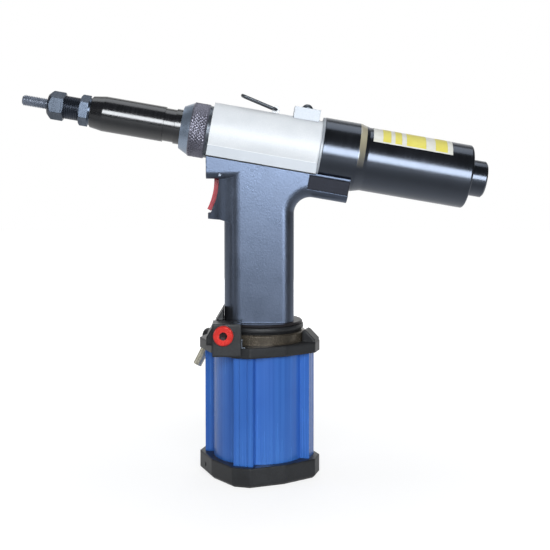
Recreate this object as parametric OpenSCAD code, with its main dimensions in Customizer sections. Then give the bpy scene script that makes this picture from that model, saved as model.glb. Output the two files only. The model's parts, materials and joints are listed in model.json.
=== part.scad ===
// Hydro-pneumatic rivet nut tool in pistol form, standing on its air cylinder.
// Origin at the centre of the base's underside, +Z up, nose towards -X.

/* [Base] */
// Turn of the air cylinder about the handle, degrees
base_turn = 28; // [20:1:36]
// Half width of the base at the middle of a side
base_mid = 40; // [39:0.25:42]
// Half width of the base where a side meets its corner facet
base_end = 36.5; // [35.5:0.25:38]
// Half length of a side, up to the corner facet
base_side = 27; // [26:0.25:28]
// Height of the bottom cap
cap_h = 14.5; // [13:0.5:20]
// Chamfer round the foot of the bottom cap
cap_edge = 2.2; // [0.5:0.1:3]
// Visible length of the air cylinder
tube_len = 79; // [76:0.5:100]
// Outer radius of the air cylinder between its posts
tube_r = 34.5; // [33.5:0.1:35]
// Distance of a corner post's face from the axis
post_reach = 40.4; // [39:0.1:41]
// Width of a corner post
post_w = 14.6; // [13:0.2:16]
// Bore of the air cylinder
air_bore_r = 28.5; // [27:0.1:29]
// Thickness of the cylinder head's flange
flange_h = 7.5; // [7:0.1:10]
// Height of the locating spigots in the air cylinder
spigot_h = 5; // [4.5:0.1:7]
// Cord diameter of the cylinder seals
seal_d = 1.9; // [1.5:0.1:2.2]
// Radius of the circle of tie bolts
bolt_ring_r = 33.4; // [33:0.1:34]
// Radius of a tie bolt's shank
bolt_r = 2.5; // [2:0.1:2.6]
// Radius of a tie bolt's head
bolt_head_r = 4.25; // [3.5:0.05:4.5]
// Height of a tie bolt's head
bolt_head_h = 5; // [3:0.1:6]
// Depth of a tie bolt in the cylinder head
bolt_depth = 5.5; // [4:0.1:6]

/* [Intensifier] */
// Thickness of the air piston
air_piston_h = 12; // [9:0.5:14]
// Radius of the ram
ram_r = 7; // [6:0.1:7.5]
// Outer radius of the ram gland
gland_r = 11; // [10:0.1:12]

/* [Collar] */
// Radius of the screwed boss under the handle
boss_r = 26; // [24:0.2:28]
// Radius of the collar ring
collar_r = 34.5; // [33.5:0.1:35]
// Height of the collar ring
collar_h = 7.4; // [6:0.1:9]
// Radius of the collar lock ring
lock_r = 33; // [31.5:0.1:33.5]
// Height of the collar lock ring
lock_h = 5; // [4:0.1:6]
// Radius of the handle's foot
foot_r = 32.3; // [31:0.1:33]
// Height of the handle's foot
foot_h = 2.2; // [1.8:0.1:4]

/* [Handle] */
// Reach of the grip in front of its axis
grip_front = 25.8; // [24:0.2:28]
// Reach of the grip behind its axis
grip_rear = 25.5; // [24:0.2:28]
// Half width of the handle
handle_half = 21; // [20:0.2:22]
// Corner radius at the front of the grip
grip_front_round = 12; // [8:0.5:14]
// Edge radius at the rear of the grip and under the rear arm
grip_rear_round = 9; // [6:0.5:10]
// Outer radius of the oil tube
oil_tube_r = 13.5; // [12.5:0.1:14]
// Bore of the oil tube
oil_bore_r = 10; // [9:0.1:11]
// Depth of the front overhang's underside below the head axis
overhang_drop = 28; // [26:0.5:30]
// Edge radius under the front overhang
under_round = 5; // [3:0.5:6]
// Length of the rear arm from the handle's axis
arm_len = 70.5; // [66:0.5:74]
// Depth of the rear arm below the head axis
arm_drop = 34.5; // [32:0.5:36]
// Radius of the hollow between grip and rear arm
web_round = 12; // [9:0.5:15]
// Depth of the panels in the sides of the rear arm
panel_depth = 2.4; // [0.8:0.1:2.4]

/* [Trigger] */
// Trigger pivot in front of the grip's axis
pivot_reach = 28.7; // [28:0.1:30]
// Trigger pivot above the underside of the overhang
pivot_rise = 2.8; // [2.4:0.1:3.4]
// Radius of the trigger pin
pin_r = 1.2; // [1:0.1:1.8]
// Radius of the trigger's finger curve
trigger_curve = 46.7; // [44:0.1:50]
// Thickness of the trigger's finger plate
trigger_t = 3.2; // [2.6:0.1:3.6]
// Width of the trigger
trigger_w = 11; // [9:0.2:13]
// Width of the cheeks at the lip under the trigger
cheek_w = 15.4; // [15:0.2:20]
// Height of the valve axis below the trigger pivot
valve_drop = 17.8; // [16:0.1:19]
// Radius of the trigger valve's cartridge
cartridge_r = 4.5; // [4:0.1:5]
// Radius of the valve stem
stem_r = 1.8; // [1.4:0.1:2.2]

/* [Valve block] */
// Left end of the valve block, in front of the handle's axis
block_front = 33.5; // [32:0.1:35]
// Right end of the valve block, in front of the handle's axis
block_back = 13; // [11:0.1:14]
// Reach of the valve block's face to the side
block_side = 44.6; // [44:0.1:46]
// Height of the valve block on the flange
block_h = 17.4; // [17:0.1:24]
// Depth of the valve block's lip down the flange's side
block_lip = 6; // [3:0.1:7]
// Reach of the sloping duct in front of the handle's axis
duct_front = 38.6; // [37.5:0.1:40]
// Height of the sloping duct on the flange
duct_h = 26; // [22:0.5:28]
// Height of the front end of the sloping duct
duct_low = 5; // [3:0.1:8]
// Regulator screw in front of the handle's axis
regulator_x = 25.6; // [24:0.1:26]
// Height of the regulator screw above the flange
regulator_h = 9.5; // [9:0.1:11]
// Radius of the regulator screw's head
regulator_r = 7.1; // [6:0.1:8]
// Thickness of the regulator screw's head
regulator_t = 4.4; // [3:0.1:6]
// Radius of the regulator screw's stem
regulator_stem_r = 5; // [4:0.1:5.5]
// Length of the regulator screw's stem
regulator_stem_len = 9; // [6:0.5:9.5]

/* [Air inlet] */
// Radius of the inlet boss on the cylinder head
inlet_boss_r = 7.5; // [7:0.1:8]
// Place of the inlet boss along its side of the base
inlet_shift = 9; // [8:0.1:12]
// Length of the inlet boss outside the base
inlet_boss_len = 5; // [4:0.1:6]
// Radius of the inlet elbow
elbow_r = 5.5; // [5:0.1:6]
// Radius of the inlet nipple
nipple_r = 3.4; // [3:0.1:3.6]
// Length of the inlet nipple
nipple_len = 25.5; // [20:0.5:30]
// Slope of the inlet nipple below the horizontal, degrees
nipple_slope = 63; // [55:1:70]

/* [Head] */
// Height of the head axis above the base, at the handle's axis
axis_h = 249; // [248:0.5:252]
// Upward tilt of the nose, degrees
tilt = 9.8; // [8:0.1:11]
// Reach of the housing in front of the handle's axis
housing_front = 36.4; // [35.5:0.1:38]
// Reach of the housing behind the handle's axis
housing_rear = 44.5; // [43:0.1:46]
// Radius of the housing
housing_r = 22.9; // [22.5:0.1:24]
// Height of the housing's flat top above the head axis
housing_top = 22.1; // [21.5:0.1:22.3]
// Depth of the seam below the head axis
seam_drop = 17; // [16:0.1:18]
// Thickness of the seam gasket
gasket_t = 0.8; // [0.5:0.1:1.2]
// Bore of the pull cylinder
pull_bore_r = 18.5; // [17.5:0.1:19]
// Front wall of the pull cylinder, in front of the handle's axis
pull_wall = 12; // [11:0.1:14]
// Thickness of the pull piston
pull_piston_t = 10; // [8:0.5:12]
// Radius of the pull piston's rod
rod_r = 7.5; // [7:0.1:7.8]
// Rearward stroke of the pull piston
pull_stroke = 7; // [5:0.5:8]
// Thickness of the rear gland
rear_gland_t = 11; // [8:0.5:13]
// Length of the oil cover along the head
cover_len = 19.3; // [17:0.1:22]
// Width of the oil cover
cover_w = 20; // [17:0.1:22]
// Height of the oil cover
cover_h = 7.4; // [6:0.1:9]
// Middle of the oil cover behind the handle's axis
cover_mid = 31.5; // [30:0.1:32]
// Radius of the oil screw's head
oil_head_r = 3.9; // [3:0.1:4.5]
// Height of the oil screw's head
oil_head_h = 2.6; // [2:0.1:3]
// Bail pivot behind the handle's axis
bail_u = 8.5; // [7:0.1:9]
// Height of the bail pivot above the flat top
bail_rise = 2.6; // [2.4:0.1:3]
// Radius of the bail's wire
wire_r = 1.05; // [0.8:0.05:1.3]
// Length of the bail
bail_len = 27; // [22:0.5:30]
// Half width of the bail
bail_half = 7; // [6:0.1:9]
// Lift of the bail above the flat top at rest, degrees
bail_lift = 13; // [8:1:20]

/* [Nose] */
// Length of the spigot that carries the union nut
nose_spigot = 13.5; // [12.5:0.1:15]
// Radius of the spigot that carries the union nut
nose_spigot_r = 17.2; // [16.5:0.1:17.5]
// Thickness of the notched nose lock ring
nose_ring_t = 2.5; // [2:0.1:3]
// Radius of the notched nose lock ring
nose_ring_r = 19.3; // [18.5:0.1:20]
// Length of the union nut's knurled barrel
nut_len = 12.4; // [12:0.1:14]
// Radius of the union nut
nut_r = 20.1; // [19.5:0.1:21]
// Length of the union nut's cone
nut_cone = 6.9; // [5:0.1:7]
// Small radius of the union nut's cone
nut_nose_r = 15.8; // [15:0.1:17]
// Radius of the nose casing
casing_r = 13; // [12.5:0.1:14]
// Length of the nose casing in front of the spigot
casing_len = 76; // [74:0.5:80]
// Bore of the nose casing
casing_bore_r = 9.4; // [9.3:0.05:9.8]
// Length of the nose casing's front cone
casing_cone = 9.6; // [8:0.1:12]
// Small radius of the nose casing's cone
casing_nose_r = 11.6; // [11:0.1:12]
// Length of the grooved band on the nose casing
band_len = 8.2; // [7:0.1:10]
// Depth of the grooved band
band_depth = 0.8; // [0.4:0.1:1.2]
// Thread length that holds the anvil
anvil_thread = 12; // [10:0.5:12]
// Radius of the anvil's shank
shank_r = 8.5; // [8:0.1:9]
// Thickness of the anvil lock nut
jam_t = 8.3; // [7:0.1:10]
// Width across flats of the anvil lock nut
jam_af = 20; // [19:0.1:22]
// Free length of the anvil's shank in front of its lock nut
shank_free = 11.7; // [9:0.1:14]
// Length of the anvil's head
anvil_len = 12; // [10:0.1:14]
// Width across flats of the anvil
anvil_af = 18.4; // [17.5:0.1:20]
// Radius of the threaded mandrel
mandrel_r = 4; // [3:0.5:4]
// Reach of the mandrel in front of the anvil
mandrel_reach = 19.3; // [16:0.1:26]
// Radius of the pull sleeve
sleeve_r = 9; // [8.8:0.05:9.1]
// Length of the pull sleeve
sleeve_len = 46; // [42:0.5:48]
// Width across flats of the drive shaft
shaft_af = 5.6; // [5:0.1:6]

/* [Rear] */
// Thickness of the casing ring
casing_ring_t = 1.6; // [1:0.1:2.2]
// Radius of the rear casing's front part
rear_r1 = 25.5; // [25:0.1:26]
// Radius of the rear casing's rear part
rear_r2 = 23.7; // [23:0.1:24.5]
// Length of the rear casing's front part
rear_len1 = 27; // [24:0.5:30]
// Length of the rear casing's cone
rear_cone = 6.5; // [5:0.1:8]
// Length of the rear casing's rear part
rear_len2 = 78; // [76:0.5:84]
// Inner radius of the rear casing
rear_bore_r = 20.5; // [20:0.1:21]
// Thickness of the rear casing's end wall
rear_wall = 6; // [4:0.1:8]
// Rounding at the rear end of the rear casing
rear_round = 1.6; // [1:0.1:2]
// Radius of the rear plug
plug_r = 13.5; // [12:0.1:15]
// Length of the rear plug outside the casing
plug_len = 13; // [10:0.5:16]
// Radius of the rear plug's stem
plug_stem_r = 9; // [7:0.1:10]
// Length of the gearbox
gearbox_len = 28; // [27:0.5:30]
// Thickness of a motor end plate
plate_t = 5; // [4:0.1:6]
// Length of the motor cylinder
motor_len = 42; // [36:0.5:42]
// Bore of the motor cylinder
motor_bore_r = 16; // [15.5:0.1:16.5]
// Offset of the motor cylinder's bore from the rotor
motor_offset = 1.4; // [1:0.1:1.5]
// Radius of the motor rotor
rotor_r = 14; // [13:0.1:14.2]
// Radius of the rotor shaft
rotor_shaft_r = 4; // [3:0.1:5]

/* [Fits] */
// Radial gap between pieces that are screwed or pressed together
fit = 0.05; // [0.02:0.01:0.08]
// Radial gap of a piece that slides or turns in its guide
running = 0.05; // [0.03:0.01:0.09]
// Gap between moving pieces that never touch
free_gap = 0.4; // [0.3:0.05:0.5]

/* [Hidden] */
$fn = 64;

// Overcut that keeps cutting faces off finished faces
over = 1;
// Long enough to cut right through the tool
through = 400;

// Heights of the base's stack
tube_z = cap_h;
head_z = tube_z + tube_len;
head_top = head_z + flange_h;
collar_top = head_top + collar_h;
lock_top = collar_top + lock_h;
foot_top = lock_top + foot_h;

// Air piston, resting on the bottom spigot
piston_rest = 1;
piston_z = tube_z + spigot_h + piston_rest;
piston_groove = 4;
ram_top = lock_top + 2;
ram_screw_h = 4;

// Trigger pivot, finger curve and valve axis
overhang_z = axis_h - overhang_drop;
pivot = [-pivot_reach, overhang_z + pivot_rise];
curve_centre = [pivot[0] - trigger_curve - 4.5, pivot[1] - 3.6];
curve_low = -27.5;
curve_high = 2;
pivot_boss_r = pin_r + 2.4;
valve_z = pivot[1] - valve_drop;
web_back = pivot[0] + 1.4;
slot_half = trigger_w / 2 + free_gap;
slot_back = pivot[0] + 7.5;
slot_low = pivot[1] - 28.2;
slot_high = pivot[1] + pivot_boss_r + free_gap + 0.4;
cheek_low = slot_low - 4.2;
cheek_back = -grip_front + 14;
valve_back = -oil_tube_r - 1.6;
valve_len = valve_back - slot_back;

// Valve block and regulator
block_top = head_top + block_h;
regulator_z = head_top + regulator_h;
block_screw_at = [-17.2, -35.2];
block_screw_r = 1.6;
block_screw_head_r = 2.9;
block_screw_head_h = 3;

// Air inlet: the side of the base that faces the rear left
inlet_angle = base_turn + 90 + atan((base_mid - base_end) / base_side);
inlet_face = base_mid * cos(inlet_angle - base_turn - 90);
inlet_z = head_z + flange_h / 2;
inlet_thread_r = 4.5;
elbow_at = inlet_face + inlet_boss_len + elbow_r + 1;

// Stations along the head axis, positive to the rear
nose_face = -housing_front - nose_spigot;
nut_rear = -housing_front - nose_ring_t;
nut_front = nut_rear - nut_len;
cone_front = nut_front - nut_cone;
casing_flange_t = 2.8;
casing_front = nose_face - casing_len;
jam_front = casing_front - jam_t;
anvil_rear = jam_front - shank_free;
anvil_front = anvil_rear - anvil_len;
mandrel_tip = anvil_front - mandrel_reach;
piston_front = -pull_wall + 2;
piston_rear = piston_front + pull_piston_t;
gland_front = housing_rear - rear_gland_t;
sleeve_rear = nose_face - pull_stroke - 1.2;
sleeve_front = sleeve_rear - sleeve_len;
sleeve_lip = 4;
sleeve_hold = 8;
rod_thread_r = rod_r - 1.5;
chuck_neck_r = mandrel_r + 1.4;
chuck_r = sleeve_r - 1.5 - free_gap;
thrust_t = 2;
chuck_flange = sleeve_front + sleeve_lip + thrust_t;
chuck_len = 24;
chuck_nose = 8;
mandrel_depth = 6;
mandrel_shank_r = mandrel_r - 0.3;
shaft_socket = 8;
shaft_bore_r = shaft_af / sqrt(3) + free_gap;
gearbox_u = housing_rear + casing_ring_t + free_gap;
carrier_nose_r = 8.4;
carrier_r = 15;
front_plate_u = gearbox_u + gearbox_len;
motor_u = front_plate_u + plate_t;
rear_plate_u = motor_u + motor_len;
silencer_u = rear_plate_u + plate_t;
rear_u = housing_rear + casing_ring_t;
rear_end = rear_u + rear_len1 + rear_cone + rear_len2;
shaft_end = gearbox_u + gearbox_len - pull_stroke - 4;
oil_port_r = 0.9;
vane_t = 1.6;
vane_root = 7;
bail_w = housing_top + bail_rise;
lug_half = 3.5;
lug_r = wire_r + 1.6;

// Helpers

// Outline of the base: four bowed sides and four corner facets, grown by a margin
function base_outline(grow = 0) = [
    for (k = [0:3])
        for (p = [[base_end, -base_side], [base_mid, 0], [base_end, base_side]])
            let (q = [p[0] + grow, p[1] + sign(p[1]) * grow * 0.4])
                [q[0] * cos(90 * k) - q[1] * sin(90 * k), q[0] * sin(90 * k) + q[1] * cos(90 * k)]
];

// Across-corners radius of a hexagon from its width across flats
function hex_r(af) = af / sqrt(3);

module turned_base() {
    rotate([0, 0, base_turn])
        children();
}

module head_frame() {
    translate([0, 0, axis_h])
        rotate([0, tilt, 0])
            children();
}

// Round bar along X, from one station to another
module bar_x(u0, u1, r) {
    translate([u0, 0, 0])
        rotate([0, 90, 0])
            cylinder(h = u1 - u0, r = r);
}

// Hexagon bar along X with a flat facing sideways
module hex_x(u0, u1, af) {
    translate([u0, 0, 0])
        rotate([0, 90, 0])
            cylinder(h = u1 - u0, r = hex_r(af), $fn = 6);
}

// Body of revolution about X from [radius, station] points
module revolve_x(points) {
    rotate([0, 90, 0])
        rotate_extrude()
            polygon(points);
}

// Upright prism along X from a [side, height] section
module prism_x(u0, u1) {
    translate([u0, 0, 0])
        rotate([90, 0, 90])
            linear_extrude(height = u1 - u0)
                children();
}

// Prism along Y, centred, from a [front, height] profile
module prism_y(width) {
    translate([0, width / 2, 0])
        rotate([90, 0, 0])
            linear_extrude(height = width)
                children();
}

// Section with a flat top and rounded lower corners
module hull_section(half, low, high, r) {
    translate([-half, low + r])
        square([2 * half, high - low - r]);
    translate([-half + r, low])
        square([2 * (half - r), r]);
    for (s = [-1, 1])
        translate([s * (half - r), low + r])
            circle(r);
}

// Plan of the grip: flat sides with round front and rear corners
module grip_plan(front, rear, half, r_front, r_rear) {
    translate([-front + r_front, -half])
        square([front + rear - r_front - r_rear, 2 * half]);
    translate([-front, -half + r_front])
        square([r_front, 2 * (half - r_front)]);
    translate([rear - r_rear, -half + r_rear])
        square([r_rear, 2 * (half - r_rear)]);
    for (s = [-1, 1]) {
        translate([-front + r_front, s * (half - r_front)])
            circle(r_front);
        translate([rear - r_rear, s * (half - r_rear)])
            circle(r_rear);
    }
}

// Positions of the four tie bolts
module at_bolts() {
    turned_base()
        for (k = [0:3])
            rotate([0, 0, 45 + 90 * k])
                translate([bolt_ring_r, 0, 0])
                    children();
}

// Points of one ring of a coil's wire
function coil_ring(r, wire, len, turns, t, sides) = [
    for (j = [0:sides - 1])
        let (a = 360 * turns * t, b = 360 * j / sides, d = r + wire * cos(b))
            [d * cos(a), d * sin(a), wire + (len - 2 * wire) * t + wire * sin(b)]
];

// Helical spring standing on the XY plane
module coil(r, wire, len, turns) {
    sides = 6;
    steps = turns * 10;
    last = steps * sides;
    points = [
        for (i = [0:steps])
            each coil_ring(r, wire, len, turns, i / steps, sides)
    ];
    walls = [
        for (i = [0:steps - 1], j = [0:sides - 1])
            let (a = i * sides + j, b = i * sides + (j + 1) % sides)
                [a, a + sides, b + sides, b]
    ];
    caps = [
        [for (j = [0:sides - 1]) j],
        [for (j = [0:sides - 1]) last + sides - 1 - j]
    ];
    polyhedron(points, concat(walls, caps), convexity = 10);
}

// Base

module bottom_cap() {
    color("#2e3032")
        difference() {
            union() {
                turned_base() {
                    translate([0, 0, cap_edge])
                        linear_extrude(height = cap_h - cap_edge)
                            polygon(base_outline());
                    hull() {
                        linear_extrude(height = 0.01)
                            polygon(base_outline(-cap_edge));
                        translate([0, 0, cap_edge])
                            linear_extrude(height = 0.01)
                                polygon(base_outline());
                    }
                }
                translate([0, 0, cap_h])
                    spigot(1);
            }
            at_bolts() {
                translate([0, 0, -over])
                    cylinder(h = through, r = bolt_r + fit);
                translate([0, 0, -over])
                    cylinder(h = over + bolt_head_h + 1, r = bolt_head_r + 0.3);
            }
            turned_base()
                translate([-base_mid, base_side / 2, cap_h / 2])
                    rotate([0, 90, 0])
                        cylinder(h = 8, r = 1.5, center = true);
        }
}

// Locating spigot with a seal groove, standing up or hanging down
module spigot(way) {
    groove = seal_d + 0.3;
    mirror([0, 0, way > 0 ? 0 : 1])
            difference() {
                translate([0, 0, -over])
                    cylinder(h = spigot_h + over, r = air_bore_r - fit);
                translate([0, 0, (spigot_h - groove) / 2])
                    difference() {
                        cylinder(h = groove, r = air_bore_r + over);
                        translate([0, 0, -over])
                            cylinder(h = groove + 2 * over, r = air_bore_r - seal_d - 2 * fit);
                    }
            }
}

module air_cylinder() {
    groove = 0.4;
    long = tube_len + 2 * over;
    color("#2f5fb0")
        translate([0, 0, tube_z])
            difference() {
                translate([0, 0, -over]) {
                    cylinder(h = long, r = tube_r);
                    turned_base()
                        for (k = [0:3])
                            rotate([0, 0, 45 + 90 * k])
                                translate([tube_r - 3, -post_w / 2, 0])
                                    cube([post_reach - tube_r + 3, post_w, long]);
                }
                translate([-through / 2, -through / 2, tube_len])
                    cube(through);
                translate([-through / 2, -through / 2, -through])
                    cube(through);
                translate([0, 0, -2 * over])
                    cylinder(h = through, r = air_bore_r);
                translate([0, 0, -2 * over])
                    at_bolts()
                        cylinder(h = through, r = bolt_r + fit);
                turned_base()
                    for (k = [0:3], s = [-0.2, 0.2])
                        rotate([0, 0, 45 + 90 * k])
                            translate([post_reach - groove, s * post_w - groove / 2, -2 * over])
                                cube([2 * groove, groove, through]);
            }
}

module cylinder_head() {
    color("#2c2e30")
        difference() {
            union() {
                turned_base()
                    translate([0, 0, head_z])
                        linear_extrude(height = flange_h)
                            polygon(base_outline());
                translate([0, 0, head_z])
                    spigot(-1);
                translate([0, 0, head_z + over])
                    cylinder(h = lock_top - head_z - over, r = boss_r);
                corner_lug();
                inlet_boss();
            }
            translate([0, 0, head_z - spigot_h - over])
                cylinder(h = through, r = gland_r + fit);
            translate([0, 0, collar_top])
                cylinder(h = through, r = oil_tube_r + fit);
            translate([0, 0, head_z - over])
                at_bolts()
                    cylinder(h = over + bolt_depth + 0.4, r = bolt_r + fit);
            translate([block_screw_at[0], block_screw_at[1], head_z - over])
                cylinder(h = through, r = block_screw_r + fit);
            inlet_place()
                translate([0, 0, inlet_face - 6])
                    cylinder(h = through, r = inlet_thread_r + fit);
        }
}

// Raised lug on the corner behind the grip's near side
module corner_lug() {
    lug_in = collar_r + free_gap;
    lug_out = (base_end + base_side) / sqrt(2) - 0.4;
    lug_w = 13;
    lug_h = 9;
    turned_base()
        rotate([0, 0, -45])
            translate([0, lug_w / 2, head_top])
                rotate([90, 0, 0])
                    linear_extrude(height = lug_w)
                        polygon([
                            [lug_in, -over], [lug_in, lug_h - 1], [lug_in + 1.5, lug_h],
                            [lug_in + 3, lug_h - 0.6], [lug_out, 2], [lug_out, -over]
                        ]);
}

// Frame of the inlet: local Z points out of the base's side
module inlet_place() {
    rotate([0, 0, inlet_angle])
        translate([0, inlet_shift, inlet_z])
            rotate([0, 90, 0])
                children();
}

module inlet_boss() {
    difference() {
        inlet_place()
            translate([0, 0, tube_r - 1])
                cylinder(h = inlet_face + inlet_boss_len - tube_r + 1, r = inlet_boss_r);
        translate([0, 0, tube_z])
            cylinder(h = tube_len + over, r = norm([post_reach, post_w / 2]) + 0.3);
        translate([0, 0, head_top - over])
            cylinder(h = lock_top - head_top + over, r = collar_r + free_gap);
    }
}

module tie_bolts() {
    socket_af = 4;
    color("#8d9196")
        at_bolts()
            difference() {
                union() {
                    translate([0, 0, 1])
                        cylinder(h = bolt_head_h, r = bolt_head_r);
                    translate([0, 0, bolt_head_h + 0.5])
                        cylinder(h = head_z + bolt_depth - bolt_head_h - 0.5, r = bolt_r);
                }
                translate([0, 0, 1 - over])
                    cylinder(h = over + 2.5, r = hex_r(socket_af), $fn = 6);
            }
}

module cylinder_seals() {
    color("#1b1b1c")
        for (z = [tube_z + spigot_h / 2, head_z - spigot_h / 2])
            translate([0, 0, z])
                rotate_extrude()
                    translate([air_bore_r - seal_d / 2 - fit, 0])
                        circle(d = seal_d);
}

module air_piston() {
    color("#b4b7ba")
        translate([0, 0, piston_z])
            difference() {
                cylinder(h = air_piston_h, r = air_bore_r - free_gap);
                translate([0, 0, (air_piston_h - piston_groove) / 2])
                    difference() {
                        cylinder(h = piston_groove, r = air_bore_r + over);
                        translate([0, 0, -over])
                            cylinder(h = piston_groove + 2 * over, r = air_bore_r - 4);
                    }
                translate([0, 0, air_piston_h - ram_screw_h])
                    cylinder(h = through, r = ram_r + fit);
                translate([0, 0, -over])
                    cylinder(h = 4 + over, r = air_bore_r - 12);
            }
}

module air_piston_seal() {
    color("#1d1d1e")
        translate([0, 0, piston_z + (air_piston_h - piston_groove) / 2 + fit])
            difference() {
                cylinder(h = piston_groove - 2 * fit, r = air_bore_r - running);
                translate([0, 0, -over])
                    cylinder(h = through, r = air_bore_r - 4 + fit);
            }
}

module ram() {
    ram_low = piston_z + air_piston_h - ram_screw_h;
    color("#c9ccd0")
        translate([0, 0, ram_low])
            union() {
                cylinder(h = ram_top - ram_low - 1, r = ram_r);
                translate([0, 0, ram_top - ram_low - 1])
                    cylinder(h = 1, r1 = ram_r, r2 = ram_r - 1);
            }
}

module ram_gland() {
    gland_low = head_z - spigot_h + 1;
    color("#a8833f")
        translate([0, 0, gland_low])
            difference() {
                cylinder(h = collar_top - gland_low, r = gland_r);
                translate([0, 0, -over])
                    cylinder(h = through, r = ram_r + running);
            }
}

module collar_ring() {
    edge = 0.9;
    color("#3b3936")
        translate([0, 0, head_top])
            rotate_extrude()
                polygon([
                    [boss_r + fit, 0], [collar_r, 0], [collar_r, collar_h - edge],
                    [collar_r - edge, collar_h], [boss_r + fit, collar_h]
                ]);
}

module collar_lock_ring() {
    edge = 0.7;
    neck = 1.4;
    color("#2f3032")
        translate([0, 0, collar_top])
            rotate_extrude()
                polygon([
                    [boss_r + fit, 0], [lock_r - neck, 0], [lock_r - neck, neck], [lock_r - edge, neck],
                    [lock_r, neck + edge], [lock_r, lock_h - edge],
                    [lock_r - edge, lock_h], [boss_r + fit, lock_h]
                ]);
}

// Handle

module handle() {
    color("#4a5058")
        difference() {
            union() {
                translate([0, 0, foot_top])
                    linear_extrude(height = axis_h - foot_top)
                        grip_plan(grip_front, grip_rear, handle_half, grip_front_round, grip_rear_round);
                handle_foot();
                front_overhang();
                rear_arm();
                cheeks();
            }
            head_frame()
                translate([-through / 2, -through / 2, -seam_drop - gasket_t])
                    cube([through / 2 + housing_rear, through, through]);
            head_frame()
                translate([-through / 2, -through / 2, -seam_drop])
                    cube([through, through, through]);
            head_frame()
                bar_x(housing_rear, through, rear_r1 + fit);
            head_frame()
                bar_x(-through / 2, housing_rear + over, housing_r + fit);
            translate([0, 0, lock_top - over])
                cylinder(h = oil_roof() - lock_top + over, r = oil_tube_r + fit);
            oil_port();
            trigger_slot();
            arm_panels();
        }
}

// Height of the oil tube's upper end
function oil_roof() = overhang_z - 1;

module handle_foot() {
    edge = 0.35 * foot_h;
    translate([0, 0, lock_top])
        rotate_extrude()
            polygon([
                [0, 0], [foot_r - edge, 0], [foot_r, edge], [foot_r, foot_h - edge],
                [foot_r - edge, foot_h], [0, foot_h]
            ]);
}

module front_overhang() {
    front = housing_front * cos(tilt) + seam_drop * sin(tilt);
    prism_x(-front, 0)
        hull_section(handle_half, overhang_z, axis_h, under_round);
}

module rear_arm() {
    head_frame()
        prism_x(0, arm_len)
            hull_section(handle_half, -arm_drop, 0, grip_rear_round);
    web();
}

// Round web between grip and rear arm, with the same soft edge as both
module web() {
    half = handle_half - fit;
    deep = 2 * grip_rear_round;
    mid_x = grip_rear - fit + web_round;
    mid_z = axis_h - mid_x * tan(tilt) - (arm_drop - fit + web_round) / cos(tilt);
    intersection() {
        translate([mid_x, 0, mid_z])
            rotate([90, 0, 0])
                rotate_extrude() {
                    translate([web_round, grip_rear_round - half])
                        square([deep, 2 * (half - grip_rear_round)]);
                    translate([web_round + grip_rear_round, -half])
                        square([deep - grip_rear_round, 2 * half]);
                    for (s = [-1, 1])
                        translate([web_round + grip_rear_round, s * (half - grip_rear_round)])
                            circle(grip_rear_round);
                }
        translate([grip_rear - grip_rear_round, -through / 2, mid_z])
            cube([grip_rear_round + web_round + web_round * sin(tilt), through, web_round + grip_rear_round]);
    }
}

// Cheeks behind the trigger, bowed in towards the lip under it
module cheeks() {
    lip_front = curve_centre[0] + (trigger_curve - 3) * cos(curve_low) + 3.3;
    root = handle_half - 0.3;
    taper = root - cheek_w / 2;
    bow = (pow(cheek_back - lip_front, 2) + pow(taper, 2)) / (2 * taper);
    intersection() {
        prism_y(2 * handle_half)
            difference() {
                polygon([
                    [lip_front, cheek_low], [lip_front + 9, cheek_low - 0.4],
                    [lip_front + 17, cheek_low - 2.4], [cheek_back, cheek_low - 7],
                    [cheek_back, overhang_z + over], [pivot[0] - 6, overhang_z + over],
                    [lip_front, slot_low]
                ]);
                intersection() {
                    translate(curve_centre)
                        circle(trigger_curve + trigger_t + free_gap, $fn = 128);
                    translate([-through / 2, slot_low])
                        square([through, through]);
                }
            }
        translate([cheek_back, bow - root, 0])
            cylinder(h = axis_h, r = bow);
        translate([cheek_back, root - bow, 0])
            cylinder(h = axis_h, r = bow);
    }
}

// Room for the trigger, its pin, and the valve behind it
module trigger_slot() {
    translate([-through / 2 + slot_back, -slot_half, slot_low])
        cube([through / 2, 2 * slot_half, overhang_z - slot_low + over]);
    translate([pivot[0] - pivot_boss_r - 2.4, -slot_half, overhang_z])
        cube([slot_back - pivot[0] + pivot_boss_r + 2.4, 2 * slot_half, slot_high - overhang_z]);
    translate([pivot[0], 0, pivot[1]])
        rotate([90, 0, 0])
            cylinder(h = through, r = pin_r + fit, center = true);
    translate([slot_back - over, 0, valve_z])
        rotate([0, 90, 0])
            cylinder(h = valve_back - slot_back + over, r = cartridge_r + fit);
}

// Shallow panels in the sides of the rear arm
module arm_panels() {
    panel_low = -arm_drop + 5.5;
    panel_high = -seam_drop - 1.6;
    head_frame()
        for (s = [-1, 1])
            translate([housing_rear - 4, s * handle_half - panel_depth, panel_low])
                cube([arm_len - housing_rear + 4 + over, 2 * panel_depth, panel_high - panel_low]);
}

module oil_tube() {
    color("#b9bdc2")
        translate([0, 0, collar_top])
            difference() {
                cylinder(h = oil_roof() - collar_top - fit, r = oil_tube_r);
                translate([0, 0, -over])
                    cylinder(h = through, r = oil_bore_r);
            }
}

module trigger() {
    color("#c22f3d")
        difference() {
            union() {
                prism_y(trigger_w)
                    trigger_profile();
                translate([pivot[0], 0, pivot[1]])
                    rotate([90, 0, 0])
                        cylinder(h = trigger_w, r = pivot_boss_r, center = true);
            }
            translate([pivot[0], 0, pivot[1]])
                rotate([90, 0, 0])
                    cylinder(h = through, r = pin_r + running, center = true);
        }
}

// Points along an arc about the trigger's curve centre
function curve_arc(r, from, to) = [
    for (k = [0:12])
        let (a = from + (to - from) * k / 12)
            curve_centre + r * [cos(a), sin(a)]
];

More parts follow.
